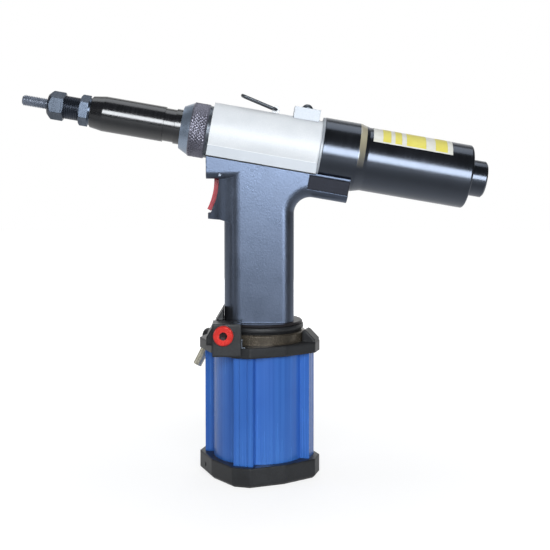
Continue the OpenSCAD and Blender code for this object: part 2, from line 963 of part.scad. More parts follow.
// Side view of the trigger: curved finger plate and web
module trigger_profile() {
    outer = trigger_curve + trigger_t;
    web_low = valve_z - 3;
    web_angle = asin((web_low - curve_centre[1]) / outer);
    polygon(concat(
        curve_arc(trigger_curve, curve_low, curve_high),
        [[pivot[0], pivot[1] + 1], [web_back, pivot[1]], [web_back, web_low]],
        curve_arc(outer, web_angle, curve_low)
    ));
}

module trigger_pin() {
    color("#d9dcdf")
        translate([pivot[0], 0, pivot[1]])
            rotate([90, 0, 0])
                cylinder(h = 2 * handle_half - 3, r = pin_r, center = true);
}

// Trigger valve, on a level axis behind the trigger
module valve_frame() {
    translate([slot_back, 0, valve_z])
        rotate([0, 90, 0])
            children();
}

module valve_cartridge() {
    color("#b08d4a")
        valve_frame()
            difference() {
                cylinder(h = valve_len - fit, r = cartridge_r);
                translate([0, 0, 1.5])
                    cylinder(h = through, r = cartridge_r - 1);
                translate([0, 0, -over])
                    cylinder(h = through, r = stem_r + running);
            }
}

module valve_stem() {
    stem_head = 1.2;
    tip = 0.6;
    stem_front = web_back - slot_back + free_gap;
    color("#d2d5d8")
        valve_frame() {
            translate([0, 0, stem_front])
                cylinder(h = tip, r1 = stem_r - tip, r2 = stem_r);
            translate([0, 0, stem_front + tip])
                cylinder(h = 2.4 - stem_front - tip, r = stem_r);
            translate([0, 0, 1.5 + running])
                cylinder(h = stem_head, r = cartridge_r - 1 - free_gap);
        }
}

module valve_spring() {
    spring_front = web_back - slot_back + 0.1;
    color("#9a9da1")
        valve_frame()
            translate([0, 0, spring_front])
                coil(stem_r + 0.9, 0.3, -0.1 - spring_front, 4);
}

// Valve block at the front corner of the flange

module valve_block() {
    color("#26292c")
        difference() {
            union() {
                translate([-block_front, -block_side, head_top - block_lip])
                    cube([block_front - block_back, block_side - handle_half - 3.5, block_h + block_lip]);
                sloping_duct();
            }
            turned_base()
                translate([0, 0, head_top - block_lip - over])
                    linear_extrude(height = block_lip + over)
                        polygon(base_outline(0.15));
            translate([0, 0, head_top - block_lip - over])
                cylinder(h = foot_top + free_gap - head_top + block_lip + over, r = collar_r + free_gap);
            translate([-regulator_x, -block_side - over, regulator_z])
                rotate([-90, 0, 0])
                    cylinder(h = over + regulator_stem_len + 0.6, r = regulator_stem_r + running);
            translate([block_screw_at[0], block_screw_at[1], 0]) {
                cylinder(h = through, r = block_screw_r + fit);
                translate([0, 0, block_top - block_screw_head_h - 0.4])
                    cylinder(h = through, r = block_screw_head_r + 0.2);
            }
        }
}

// Air duct that slopes up from the flange to the front of the grip
module sloping_duct() {
    duct_y0 = -handle_half - 4;
    duct_y1 = 2;
    duct_back = -grip_front - free_gap;
    translate([0, duct_y1, 0])
        rotate([90, 0, 0])
            linear_extrude(height = duct_y1 - duct_y0)
                polygon([
                    [-duct_front, head_top - over], [-duct_front, head_top + duct_low],
                    [duct_back, head_top + duct_h], [duct_back, head_top - over]
                ]);
}

module block_screw() {
    color("#7f8388")
        translate([block_screw_at[0], block_screw_at[1], 0])
            difference() {
                union() {
                    translate([0, 0, head_z + 0.5])
                        cylinder(h = block_top - 0.4 - head_z - 0.5, r = block_screw_r);
                    translate([0, 0, block_top - block_screw_head_h - 0.4])
                        cylinder(h = block_screw_head_h, r = block_screw_head_r);
                }
                translate([0, 0, block_top - 2])
                    cylinder(h = through, r = hex_r(2.5), $fn = 6);
            }
}

module regulator_screw() {
    socket_af = 5;
    head_gap = 0.2;
    edge = 0.8;
    color("#e23b30")
        translate([-regulator_x, -block_side, regulator_z])
            rotate([90, 0, 0])
                difference() {
                    union() {
                        translate([0, 0, -regulator_stem_len])
                            cylinder(h = regulator_stem_len + head_gap + over, r = regulator_stem_r);
                        translate([0, 0, head_gap])
                            cylinder(h = regulator_t - edge, r = regulator_r);
                        translate([0, 0, head_gap + regulator_t - edge])
                            cylinder(h = edge, r1 = regulator_r, r2 = regulator_r - edge);
                    }
                    translate([0, 0, regulator_t - 5])
                        cylinder(h = through, r = hex_r(socket_af), $fn = 6);
                }
}

// Bent sheet tab at the rear lower corner of the valve block's face
module lock_tab() {
    tab_t = 0.8;
    tab_w = 4;
    color("#c3c7cb")
        translate([-block_back, -block_side, head_top]) {
            cube([tab_t, tab_w, 6.5]);
            cube([3, tab_w, tab_t]);
        }
}

module inlet_elbow() {
    color("#c8bd98")
        union() {
            inlet_place()
                translate([0, 0, inlet_face - 4])
                    cylinder(h = elbow_at - inlet_face + 4, r = inlet_thread_r);
            inlet_place()
                translate([0, 0, inlet_face + inlet_boss_len])
                    cylinder(h = elbow_at + elbow_r - inlet_face - inlet_boss_len, r = elbow_r);
            nipple_frame()
                cylinder(h = elbow_r + 2.5, r = elbow_r - 0.5);
        }
}

// Centre of the inlet elbow in the tool's frame
function elbow_centre() = [
    elbow_at * cos(inlet_angle) - inlet_shift * sin(inlet_angle),
    elbow_at * sin(inlet_angle) + inlet_shift * cos(inlet_angle),
    inlet_z
];

// Frame of the nipple: local Z runs down and forward
module nipple_frame() {
    translate(elbow_centre())
        rotate([0, -90 - nipple_slope, 0])
            children();
}

module inlet_nipple() {
    bore = 2;
    bead = 0.6;
    bead_len = 3.5;
    start = elbow_r + 2.5;
    color("#d9d3bd")
        nipple_frame()
            difference() {
                union() {
                    translate([0, 0, start])
                        cylinder(h = nipple_len - start, r = nipple_r);
                    translate([0, 0, start])
                        cylinder(h = bead_len, r = nipple_r + bead);
                }
                translate([0, 0, start + 1])
                    cylinder(h = through, r = bore);
            }
}

// Head

module seam_gasket() {
    color("#161718")
        head_frame()
            difference() {
                translate([-housing_front, -handle_half, -seam_drop - gasket_t])
                    cube([housing_front + housing_rear, 2 * handle_half, gasket_t]);
                bar_x(-through / 2, through / 2, housing_r + fit);
            }
}

// Oil way drilled from the top of the oil tube to the front of the pull cylinder
module oil_port() {
    inner = oil_port_end();
    start = [-oil_bore_r + 2, oil_roof() - over];
    lean = atan2(inner[0] - start[0], inner[1] - start[1]);
    translate([start[0], 0, start[1]])
        rotate([0, lean, 0])
            cylinder(h = norm(inner - start), r = oil_port_r);
}

// End of the oil way in the tool's frame, as [front, height]
function oil_port_end() =
    let (u = -pull_wall + 1, w = -pull_bore_r + 1)
        [u * cos(tilt) + w * sin(tilt), axis_h - u * sin(tilt) + w * cos(tilt)];

module head_housing() {
    color("#dfe2e6")
        difference() {
            head_frame()
                housing_shape();
            oil_port();
        }
}

// Housing in the head's own frame, without the oil way
module housing_shape() {
    difference() {
        union() {
            intersection() {
                bar_x(-housing_front, housing_rear, housing_r);
                translate([-through / 2, -through / 2, -through + housing_top])
                    cube([through, through, through]);
            }
            translate([-housing_front, -handle_half, -seam_drop])
                cube([housing_front + housing_rear, 2 * handle_half, seam_drop]);
            bar_x(nose_face, -housing_front + over, nose_spigot_r);
            bail_lug();
        }
        bar_x(-pull_wall, through, pull_bore_r);
        bar_x(-through / 2, through / 2, rod_r + running);
        bar_x(nose_face - over, nose_face + 4, casing_bore_r);
        translate([bail_u, 0, bail_w])
            rotate([90, 0, 0])
                cylinder(h = through, r = wire_r + running, center = true);
        translate([cover_mid, 0, 0])
            cylinder(h = through, r = 2 + fit);
    }
}

// Lug on the flat top that the bail hangs in
module bail_lug() {
    translate([bail_u, 0, bail_w])
        rotate([90, 0, 0])
            cylinder(h = 2 * lug_half, r = lug_r, center = true);
    translate([bail_u - lug_r, -lug_half, housing_top - 2])
        cube([2 * lug_r, 2 * lug_half, bail_rise + 2]);
}

module oil_cover() {
    color("#d4d8dc")
        head_frame()
            difference() {
                translate([cover_mid - cover_len / 2, -cover_w / 2, 0])
                    cube([cover_len, cover_w, housing_top + cover_h]);
                intersection() {
                    bar_x(-through, through, housing_r + fit);
                    translate([-through / 2, -through / 2, -through + housing_top])
                        cube([through, through, through]);
                }
                translate([-through / 2, -through / 2, -through])
                    cube([through, through, through + housing_top - 1.4]);
                cylinder_at_cover(2 + fit);
            }
}

module cylinder_at_cover(r) {
    translate([cover_mid, 0, 0])
        cylinder(h = through, r = r);
}

module oil_washer() {
    color("#b5793c")
        head_frame()
            translate([cover_mid, 0, housing_top + cover_h])
                difference() {
                    cylinder(h = 0.8, r = oil_head_r + 0.4);
                    translate([0, 0, -over])
                        cylinder(h = through, r = 2 + fit);
                }
}

module oil_screw() {
    head_low = housing_top + cover_h + 0.8;
    dome_r = (oil_head_r * oil_head_r + oil_head_h * oil_head_h) / (2 * oil_head_h);
    color("#33363a")
        head_frame()
            translate([cover_mid, 0, 0])
                difference() {
                    union() {
                        translate([0, 0, pull_bore_r + 1])
                            cylinder(h = head_low - pull_bore_r, r = 2);
                        intersection() {
                            translate([0, 0, head_low])
                                cylinder(h = oil_head_h, r = oil_head_r);
                            translate([0, 0, head_low + oil_head_h - dome_r])
                                sphere(dome_r);
                        }
                    }
                    translate([0, 0, head_low + 1])
                        cylinder(h = through, r = hex_r(2.5), $fn = 6);
                }
}

// Wire bail: two ends in the lug, two legs and a cross bar
module hanger_bail() {
    bend = 2.5;
    color("#9ea3a8")
        head_frame()
            translate([bail_u, 0, bail_w])
                rotate([0, bail_lift, 0])
                    for (s = [-1, 1]) {
                        translate([0, s * (lug_half - 2.6), 0])
                            rotate([-90 * s, 0, 0])
                                cylinder(h = bail_half - bend - lug_half + 2.6, r = wire_r);
                        translate([-bend, s * (bail_half - bend), 0])
                            wire_bend(bend, s > 0 ? 0 : -90);
                        translate([-bail_len + bend, s * bail_half, 0])
                            rotate([0, 90, 0])
                                cylinder(h = bail_len - 2 * bend, r = wire_r);
                        translate([-bail_len + bend, s * (bail_half - bend), 0])
                            wire_bend(bend, s > 0 ? 90 : 180);
                        translate([-bail_len, 0, 0])
                            rotate([-90 * s, 0, 0])
                                cylinder(h = bail_half - bend, r = wire_r);
                    }
}

// Quarter turn of wire in the bail's plane
module wire_bend(r, start) {
    rotate([0, 0, start])
        rotate_extrude(angle = 90)
            translate([r, 0])
                circle(wire_r);
}

module rear_gland() {
    color("#b7babd")
        head_frame()
            difference() {
                bar_x(gland_front, housing_rear, pull_bore_r - fit);
                bar_x(-through / 2, through / 2, shaft_bore_r);
            }
}

module pull_piston() {
    seal_w = 4;
    color("#c4c7cb")
        head_frame()
            difference() {
                union() {
                    bar_x(piston_front, piston_rear, pull_bore_r - free_gap);
                    bar_x(sleeve_rear, piston_front + over, rod_r);
                    bar_x(sleeve_rear - sleeve_hold, sleeve_rear + over, rod_thread_r);
                }
                bar_x(-through / 2, through / 2, shaft_bore_r);
                difference() {
                    bar_x(piston_front + 3, piston_front + 3 + seal_w, pull_bore_r + over);
                    bar_x(piston_front, piston_rear, pull_bore_r - 3);
                }
            }
}

module piston_seal() {
    seal_w = 4;
    color("#1d1d1e")
        head_frame()
            difference() {
                bar_x(piston_front + 3 + fit, piston_front + 3 + seal_w - fit, pull_bore_r - running);
                bar_x(piston_front, piston_rear, pull_bore_r - 3 + fit);
            }
}

module return_spring() {
    wire = 1.3;
    color("#8f9398")
        head_frame()
            translate([piston_rear + 0.2, 0, 0])
                rotate([0, 90, 0])
                    coil(10, wire, gland_front - piston_rear - 0.4, 5);
}

module pull_sleeve() {
    inner_r = sleeve_r - 1.5;
    color("#a9adb2")
        head_frame()
            difference() {
                bar_x(sleeve_front, sleeve_rear, sleeve_r);
                bar_x(sleeve_front - over, sleeve_rear, chuck_neck_r + free_gap);
                bar_x(sleeve_front + sleeve_lip, sleeve_rear - sleeve_hold, inner_r);
                bar_x(sleeve_rear - sleeve_hold - over, sleeve_rear + over, rod_thread_r + fit);
            }
}

module thrust_ring() {
    color("#d7dadd")
        head_frame()
            difference() {
                bar_x(sleeve_front + sleeve_lip, sleeve_front + sleeve_lip + thrust_t - 0.1, chuck_r);
                bar_x(-through / 2, through / 2, chuck_neck_r + free_gap);
            }
}

module mandrel_chuck() {
    color("#9da1a7")
        head_frame()
            difference() {
                union() {
                    bar_x(chuck_flange, chuck_flange + chuck_len, chuck_r);
                    bar_x(sleeve_front - chuck_nose, chuck_flange + over, chuck_neck_r);
                }
                bar_x(sleeve_front - chuck_nose - over, chuck_flange + mandrel_depth, mandrel_shank_r + fit);
                hex_x(chuck_flange + chuck_len - shaft_socket, chuck_flange + chuck_len + over, shaft_af + 0.1);
            }
}

module mandrel() {
    tip = 1.2;
    root = chuck_flange + mandrel_depth - 0.3;
    color("#4d555c")
        head_frame()
            revolve_x([
                [0, mandrel_tip], [mandrel_r - tip, mandrel_tip], [mandrel_r, mandrel_tip + tip],
                [mandrel_r, anvil_front], [mandrel_shank_r, anvil_front], [mandrel_shank_r, root], [0, root]
            ]);
}

module drive_shaft() {
    color("#aeb2b7")
        head_frame()
            hex_x(chuck_flange + chuck_len - shaft_socket + 0.3, shaft_end, shaft_af);
}

module nose_casing() {
    band_rear = cone_front - 4.8;
    band_front = band_rear - band_len;
    flange_r = nose_spigot_r + 0.3;
    color("#17181a")
        head_frame()
            difference() {
                revolve_x([
                    [shank_r + fit, casing_front], [casing_nose_r - 0.6, casing_front],
                    [casing_nose_r, casing_front + 0.6], [casing_r, casing_front + casing_cone],
                    [casing_r, band_front], [casing_r - band_depth, band_front],
                    [casing_r - band_depth, band_rear], [casing_r, band_rear],
                    [casing_r, nose_face - casing_flange_t], [flange_r, nose_face - casing_flange_t],
                    [flange_r, nose_face], [casing_bore_r, nose_face],
                    [casing_bore_r, casing_front + anvil_thread + 1],
                    [shank_r + fit, casing_front + anvil_thread + 1]
                ]);
            }
}

module union_nut() {
    edge = 0.7;
    thread_r = nose_spigot_r + 0.3 + fit;
    shoulder = nose_face - casing_flange_t;
    color("#55585d")
        head_frame()
            revolve_x([
                [casing_r + fit, cone_front], [nut_nose_r, cone_front], [nut_r - edge, nut_front],
                [nut_r, nut_front + edge], [nut_r, nut_rear - edge], [nut_r - edge, nut_rear],
                [thread_r, nut_rear], [thread_r, shoulder], [casing_r + fit, shoulder]
            ]);
}

// Lock ring with spanner notches round its edge
module nose_lock_ring() {
    notches = 12;
    color("#141516")
        head_frame()
            difference() {
                bar_x(nut_rear, -housing_front, nose_ring_r);
                bar_x(-through / 2, through / 2, nose_spigot_r + fit);
                for (k = [0:notches - 1])
                    rotate([360 * k / notches, 0, 0])
                        translate([nut_rear - over, -1.2, nose_ring_r - 0.8])
                            cube([nose_ring_t + 2 * over, 2.4, 2]);
            }
}

module anvil() {
    corner = hex_r(anvil_af);
    color("#6a7683")
        head_frame()
            difference() {
                union() {
                    intersection() {
                        hex_x(anvil_front, anvil_rear, anvil_af);
                        revolve_x([
                            [0, anvil_front], [corner - 3, anvil_front], [corner, anvil_front + 3],
                            [corner, anvil_rear - 0.6], [corner - 0.8, anvil_rear], [0, anvil_rear]
                        ]);
                    }
                    bar_x(anvil_rear - over, casing_front + anvil_thread, shank_r);
                }
                bar_x(-through, through, mandrel_r + free_gap);
                bar_x(sleeve_front - chuck_nose - 1, through, chuck_neck_r + free_gap);
            }
}

module anvil_lock_nut() {
    corner = hex_r(jam_af);
    rim = 1.6;
    color("#c9cdd2")
        head_frame()
            difference() {
                union() {
                    intersection() {
                        hex_x(jam_front, casing_front - rim, jam_af);
                        revolve_x([
                            [0, jam_front], [corner - 1.4, jam_front], [corner, jam_front + 0.8],
                            [corner, casing_front], [0, casing_front]
                        ]);
                    }
                    bar_x(casing_front - rim - over, casing_front, jam_af / 2);
                }
                bar_x(-through, through, shank_r + fit);
            }
}

// Rear

module casing_ring() {
    color("#c7cace")
        head_frame()
            difference() {
                bar_x(housing_rear, rear_u, rear_r1 - 0.3);
                bar_x(-through / 2, through / 2, rear_bore_r);
            }
}

module rear_casing() {
    cone_u = rear_u + rear_len1;
    back_u = cone_u + rear_cone;
    arc_steps = 4;
    color("#15171a")
        head_frame()
            revolve_x(concat(
                [
                    [rear_bore_r, rear_u], [rear_r1 - 0.4, rear_u], [rear_r1, rear_u + 0.4],
                    [rear_r1, cone_u], [rear_r2, back_u], [rear_r2, rear_end - rear_round]
                ],
                [
                    for (k = [1:arc_steps])
                        let (a = 90 * k / arc_steps)
                            [rear_r2 - rear_round * (1 - cos(a)), rear_end - rear_round * (1 - sin(a))]
                ],
                [
                    [plug_stem_r + fit, rear_end], [plug_stem_r + fit, rear_end - rear_wall],
                    [rear_bore_r, rear_end - rear_wall]
                ]
            ));
}

module gearbox() {
    wall = 3;
    front_t = 4;
    color("#8b8f94")
        head_frame()
            difference() {
                bar_x(gearbox_u, front_plate_u, rear_bore_r - fit);
                bar_x(gearbox_u + front_t, through, rear_bore_r - wall);
                bar_x(-through / 2, through, carrier_nose_r + running);
            }
}

module output_carrier() {
    flange_u = gearbox_u + 4 + free_gap;
    color("#a4a8ad")
        head_frame()
            difference() {
                union() {
                    bar_x(gearbox_u, flange_u + over, carrier_nose_r);
                    bar_x(flange_u, front_plate_u - 2, carrier_r);
                }
                hex_x(gearbox_u - over, front_plate_u - 2.6, shaft_af + 0.3);
            }
}

module motor_front_plate() {
    color("#9b9fa4")
        motor_plate(front_plate_u);
}

module motor_rear_plate() {
    color("#9b9fa4")
        motor_plate(rear_plate_u);
}

// End plate of the motor with the rotor's journal in it
module motor_plate(u) {
    head_frame()
        difference() {
            bar_x(u, u + plate_t, rear_bore_r - fit);
            bar_x(-through / 2, through, rotor_shaft_r + running);
        }
}

module motor_cylinder() {
    color("#aeb1b5")
        head_frame()
            difference() {
                bar_x(motor_u, rear_plate_u, rear_bore_r - fit);
                translate([0, 0, motor_offset])
                    bar_x(motor_u - over, rear_plate_u + over, motor_bore_r);
            }
}

// Rotor with five vane slots
module motor_rotor() {
    color("#c0c4c9")
        head_frame()
            difference() {
                union() {
                    bar_x(motor_u + free_gap, rear_plate_u - free_gap, rotor_r);
                    bar_x(front_plate_u + 0.5, silencer_u - 0.5, rotor_shaft_r);
                }
                vane_slots(vane_t + 2 * fit, rotor_r + over, motor_u - over, rear_plate_u + over);
            }
}

module vane_slots(t, reach, u0, u1) {
    for (k = [0:4])
        rotate([72 * k, 0, 0])
            translate([u0, -t / 2, vane_root])
                cube([u1 - u0, t, reach - vane_root]);
}

module rotor_vanes() {
    color("#6b4a2b")
        head_frame()
            for (k = [0:4])
                rotate([72 * k, 0, 0])
                    translate([motor_u + free_gap, -vane_t / 2, vane_root + fit])
                        cube([motor_len - 2 * free_gap, vane_t, rotor_r - vane_root - 0.3]);
}

module exhaust_silencer() {
    color("#6f7377")
        head_frame()
            difference() {
                bar_x(silencer_u, rear_end - rear_wall, rear_bore_r - fit);
                bar_x(-through / 2, through, plug_stem_r + free_gap);
            }
}

module rear_plug() {
    edge = 1.2;
    color("#191b1e")
        head_frame()
            revolve_x([
                [0, rear_end - rear_wall + 0.2], [plug_stem_r, rear_end - rear_wall + 0.2],
                [plug_stem_r, rear_end], [plug_r, rear_end], [plug_r, rear_end + plug_len - edge],
                [plug_r - edge, rear_end + plug_len], [0, rear_end + plug_len]
            ]);
}

bottom_cap();
air_cylinder();
cylinder_head();
tie_bolts();
cylinder_seals();
air_piston();
air_piston_seal();
ram();
ram_gland();
collar_ring();
collar_lock_ring();
handle();
oil_tube();
trigger();
trigger_pin();
valve_cartridge();
valve_stem();
valve_spring();
valve_block();
block_screw();
regulator_screw();
lock_tab();
inlet_elbow();
inlet_nipple();
seam_gasket();
head_housing();
oil_cover();
oil_screw();
oil_washer();
hanger_bail();
rear_gland();
pull_piston();
piston_seal();
return_spring();
pull_sleeve();
thrust_ring();
mandrel_chuck();
mandrel();
drive_shaft();
nose_casing();
union_nut();
nose_lock_ring();
anvil();
anvil_lock_nut();
casing_ring();
rear_casing();
gearbox();
output_carrier();
motor_front_plate();
motor_cylinder();
motor_rotor();
rotor_vanes();
motor_rear_plate();
exhaust_silencer();
rear_plug();
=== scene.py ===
"""Looks of a pistol-form rivet nut tool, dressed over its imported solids.

Every length is in metres in the frame of the solids: origin under the air cylinder, +Z up, nose towards -X.
Sizes that are given in millimetres are turned to metres by MM.
"""

from __future__ import annotations

import json
import logging
import math
from dataclasses import dataclass, field, replace
from enum import Enum
from typing import Any

import bmesh
import bpy
from mathutils import Matrix, Quaternion, Vector

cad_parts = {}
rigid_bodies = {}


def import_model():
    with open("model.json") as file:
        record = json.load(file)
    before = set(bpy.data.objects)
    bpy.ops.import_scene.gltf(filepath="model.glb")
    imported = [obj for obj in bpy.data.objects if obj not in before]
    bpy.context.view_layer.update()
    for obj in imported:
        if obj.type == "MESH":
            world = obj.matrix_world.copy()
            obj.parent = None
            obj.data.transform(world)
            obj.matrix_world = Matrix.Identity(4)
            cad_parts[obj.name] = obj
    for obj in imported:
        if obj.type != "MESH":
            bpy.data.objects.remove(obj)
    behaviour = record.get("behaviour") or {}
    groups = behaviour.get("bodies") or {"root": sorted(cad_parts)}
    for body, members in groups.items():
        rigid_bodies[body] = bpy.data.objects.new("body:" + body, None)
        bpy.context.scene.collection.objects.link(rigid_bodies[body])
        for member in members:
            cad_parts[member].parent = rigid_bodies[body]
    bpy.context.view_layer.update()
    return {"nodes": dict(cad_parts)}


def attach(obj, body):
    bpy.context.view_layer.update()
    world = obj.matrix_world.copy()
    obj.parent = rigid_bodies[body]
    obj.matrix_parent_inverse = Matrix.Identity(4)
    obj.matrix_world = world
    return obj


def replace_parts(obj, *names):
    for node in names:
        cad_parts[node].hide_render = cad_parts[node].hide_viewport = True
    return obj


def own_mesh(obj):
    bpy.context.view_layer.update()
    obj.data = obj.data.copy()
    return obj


Tree = bpy.types.NodeTree
Socket = bpy.types.NodeSocket
Piece = bpy.types.Object

MM = 0.001
LOG = logging.getLogger("rivet_nut_tool")

MERGE_M = 1e-6
SHARP_DEG = 35.0
EDGE_SAMPLES = 6
NOISE_DETAIL = 3.0
STREAK_DETAIL = 4.0
# Specular level of a shader that nothing has changed.
PLAIN_GLOSS = 0.5
# Span of the noise in which the two tones, and the roughness, drift from one end to the other.
TONE_SPAN = (0.12, 0.38)
ROUGH_SPAN = (0.1, 0.4)
# Scale of the coordinates along draw lines and across the axis of turned pieces, which draws the grain out.
DRAWN_STRETCH = 0.012
TURNED_STRETCH = 0.03
# Length after which the wave texture repeats at a scale of 1.
WAVE_PERIOD = math.tau / 20


def linear(hex_colour: str) -> tuple[float, float, float, float]:
    """Turns an sRGB hex colour into linear RGBA.

    Args:
        hex_colour: Six hex digits after a hash sign.

    Returns:
        Linear red, green, blue and an alpha of 1.
    """
    parts = [int(hex_colour[i : i + 2], 16) / 255 for i in (1, 3, 5)]
    out = [c / 12.92 if c <= 0.04045 else ((c + 0.055) / 1.055) ** 2.4 for c in parts]
    return out[0], out[1], out[2], 1.0


def add_node(
    tree: Tree, kind: str, inputs: dict[Any, Any] | None = None, **settings: Any
) -> bpy.types.Node:
    """Adds a shader node with its settings and links.

    Args:
        tree: Node tree that gets the node.
        kind: Blender's identifier of the node type.
        inputs: Socket name or index to a value, or to an output socket that is linked to it.
        settings: Attributes set on the node itself.

    Returns:
        The new node.
    """
    node = tree.nodes.new(kind)
    for name, value in settings.items():
        setattr(node, name, value)
    for key, value in (inputs or {}).items():
        if isinstance(value, Socket):
            tree.links.new(value, node.inputs[key])
        else:
            node.inputs[key].default_value = value
    return node


@dataclass(frozen=True)
class HeadLine:
    """The tilted axis of the head: where it crosses the grip's axis, and its slope."""

    height: float = 249 * MM
    tilt_deg: float = 9.8

    def matrix(self) -> Matrix:
        """Returns the matrix from the head's own frame, X to the rear, to the tool's frame."""
        tilt = Matrix.Rotation(math.radians(self.tilt_deg), 4, "Y")
        return Matrix.Translation((0, 0, self.height)) @ tilt


HEAD = HeadLine()


def head_place(tree: Tree, place: Socket) -> Socket:
    """Turns object coordinates into the head's own frame.

    Args:
        tree: Node tree that gets the node.
        place: Object coordinates.

    Returns:
        A socket with the coordinates in the head's own frame.
    """
    return add_node(
        tree,
        "ShaderNodeMapping",
        {"Vector": place, "Location": (0, 0, HEAD.height), "Rotation": (0, math.radians(HEAD.tilt_deg), 0)},
        vector_type="TEXTURE",
    ).outputs[0]


def head_axes(tree: Tree, place: Socket) -> bpy.types.Node:
    """Splits object coordinates along the head's own axes.

    Args:
        tree: Node tree that gets the nodes.
        place: Object coordinates.

    Returns:
        A node whose outputs 0, 1 and 2 are the station, the side and the height along the head.
    """
    return add_node(tree, "ShaderNodeSeparateXYZ", {0: head_place(tree, place)})


def between(tree: Tree, value: Socket, low: float, high: float) -> Socket:
    """Gives 1 where a value lies between two limits.

    Args:
        tree: Node tree that gets the nodes.
        value: Value to test.
        low: Lower limit.
        high: Upper limit.

    Returns:
        A socket that is 1 inside the limits and 0 outside.
    """
    return add_node(
        tree, "ShaderNodeMath", {0: value, 1: (low + high) / 2, 2: (high - low) / 2}, operation="COMPARE"
    ).outputs[0]


def close_by(tree: Tree, offset: Socket, reach: float) -> Socket:
    """Gives 1 where an offset is shorter than a length.

    Args:
        tree: Node tree that gets the nodes.
        offset: Offset from a point or an axis.
        reach: Length that it is held against.

    Returns:
        A socket that is 1 inside the length and 0 outside.
    """
    away = add_node(tree, "ShaderNodeVectorMath", {0: offset}, operation="LENGTH").outputs["Value"]
    return add_node(tree, "ShaderNodeMath", {0: away, 1: reach}, operation="LESS_THAN").outputs[0]


class Grain(Enum):
    """How a surface was made, which sets the way its fine texture runs."""

    CAST = "even grain of a painted casting"
    PEBBLE = "pebbled grain of a textured coat"
    DRAWN = "fine upright lines of a drawn extrusion"
    TURNED = "fine rings of turning about the head axis"
    POLISHED = "faint ripple of a polished or lacquered skin"


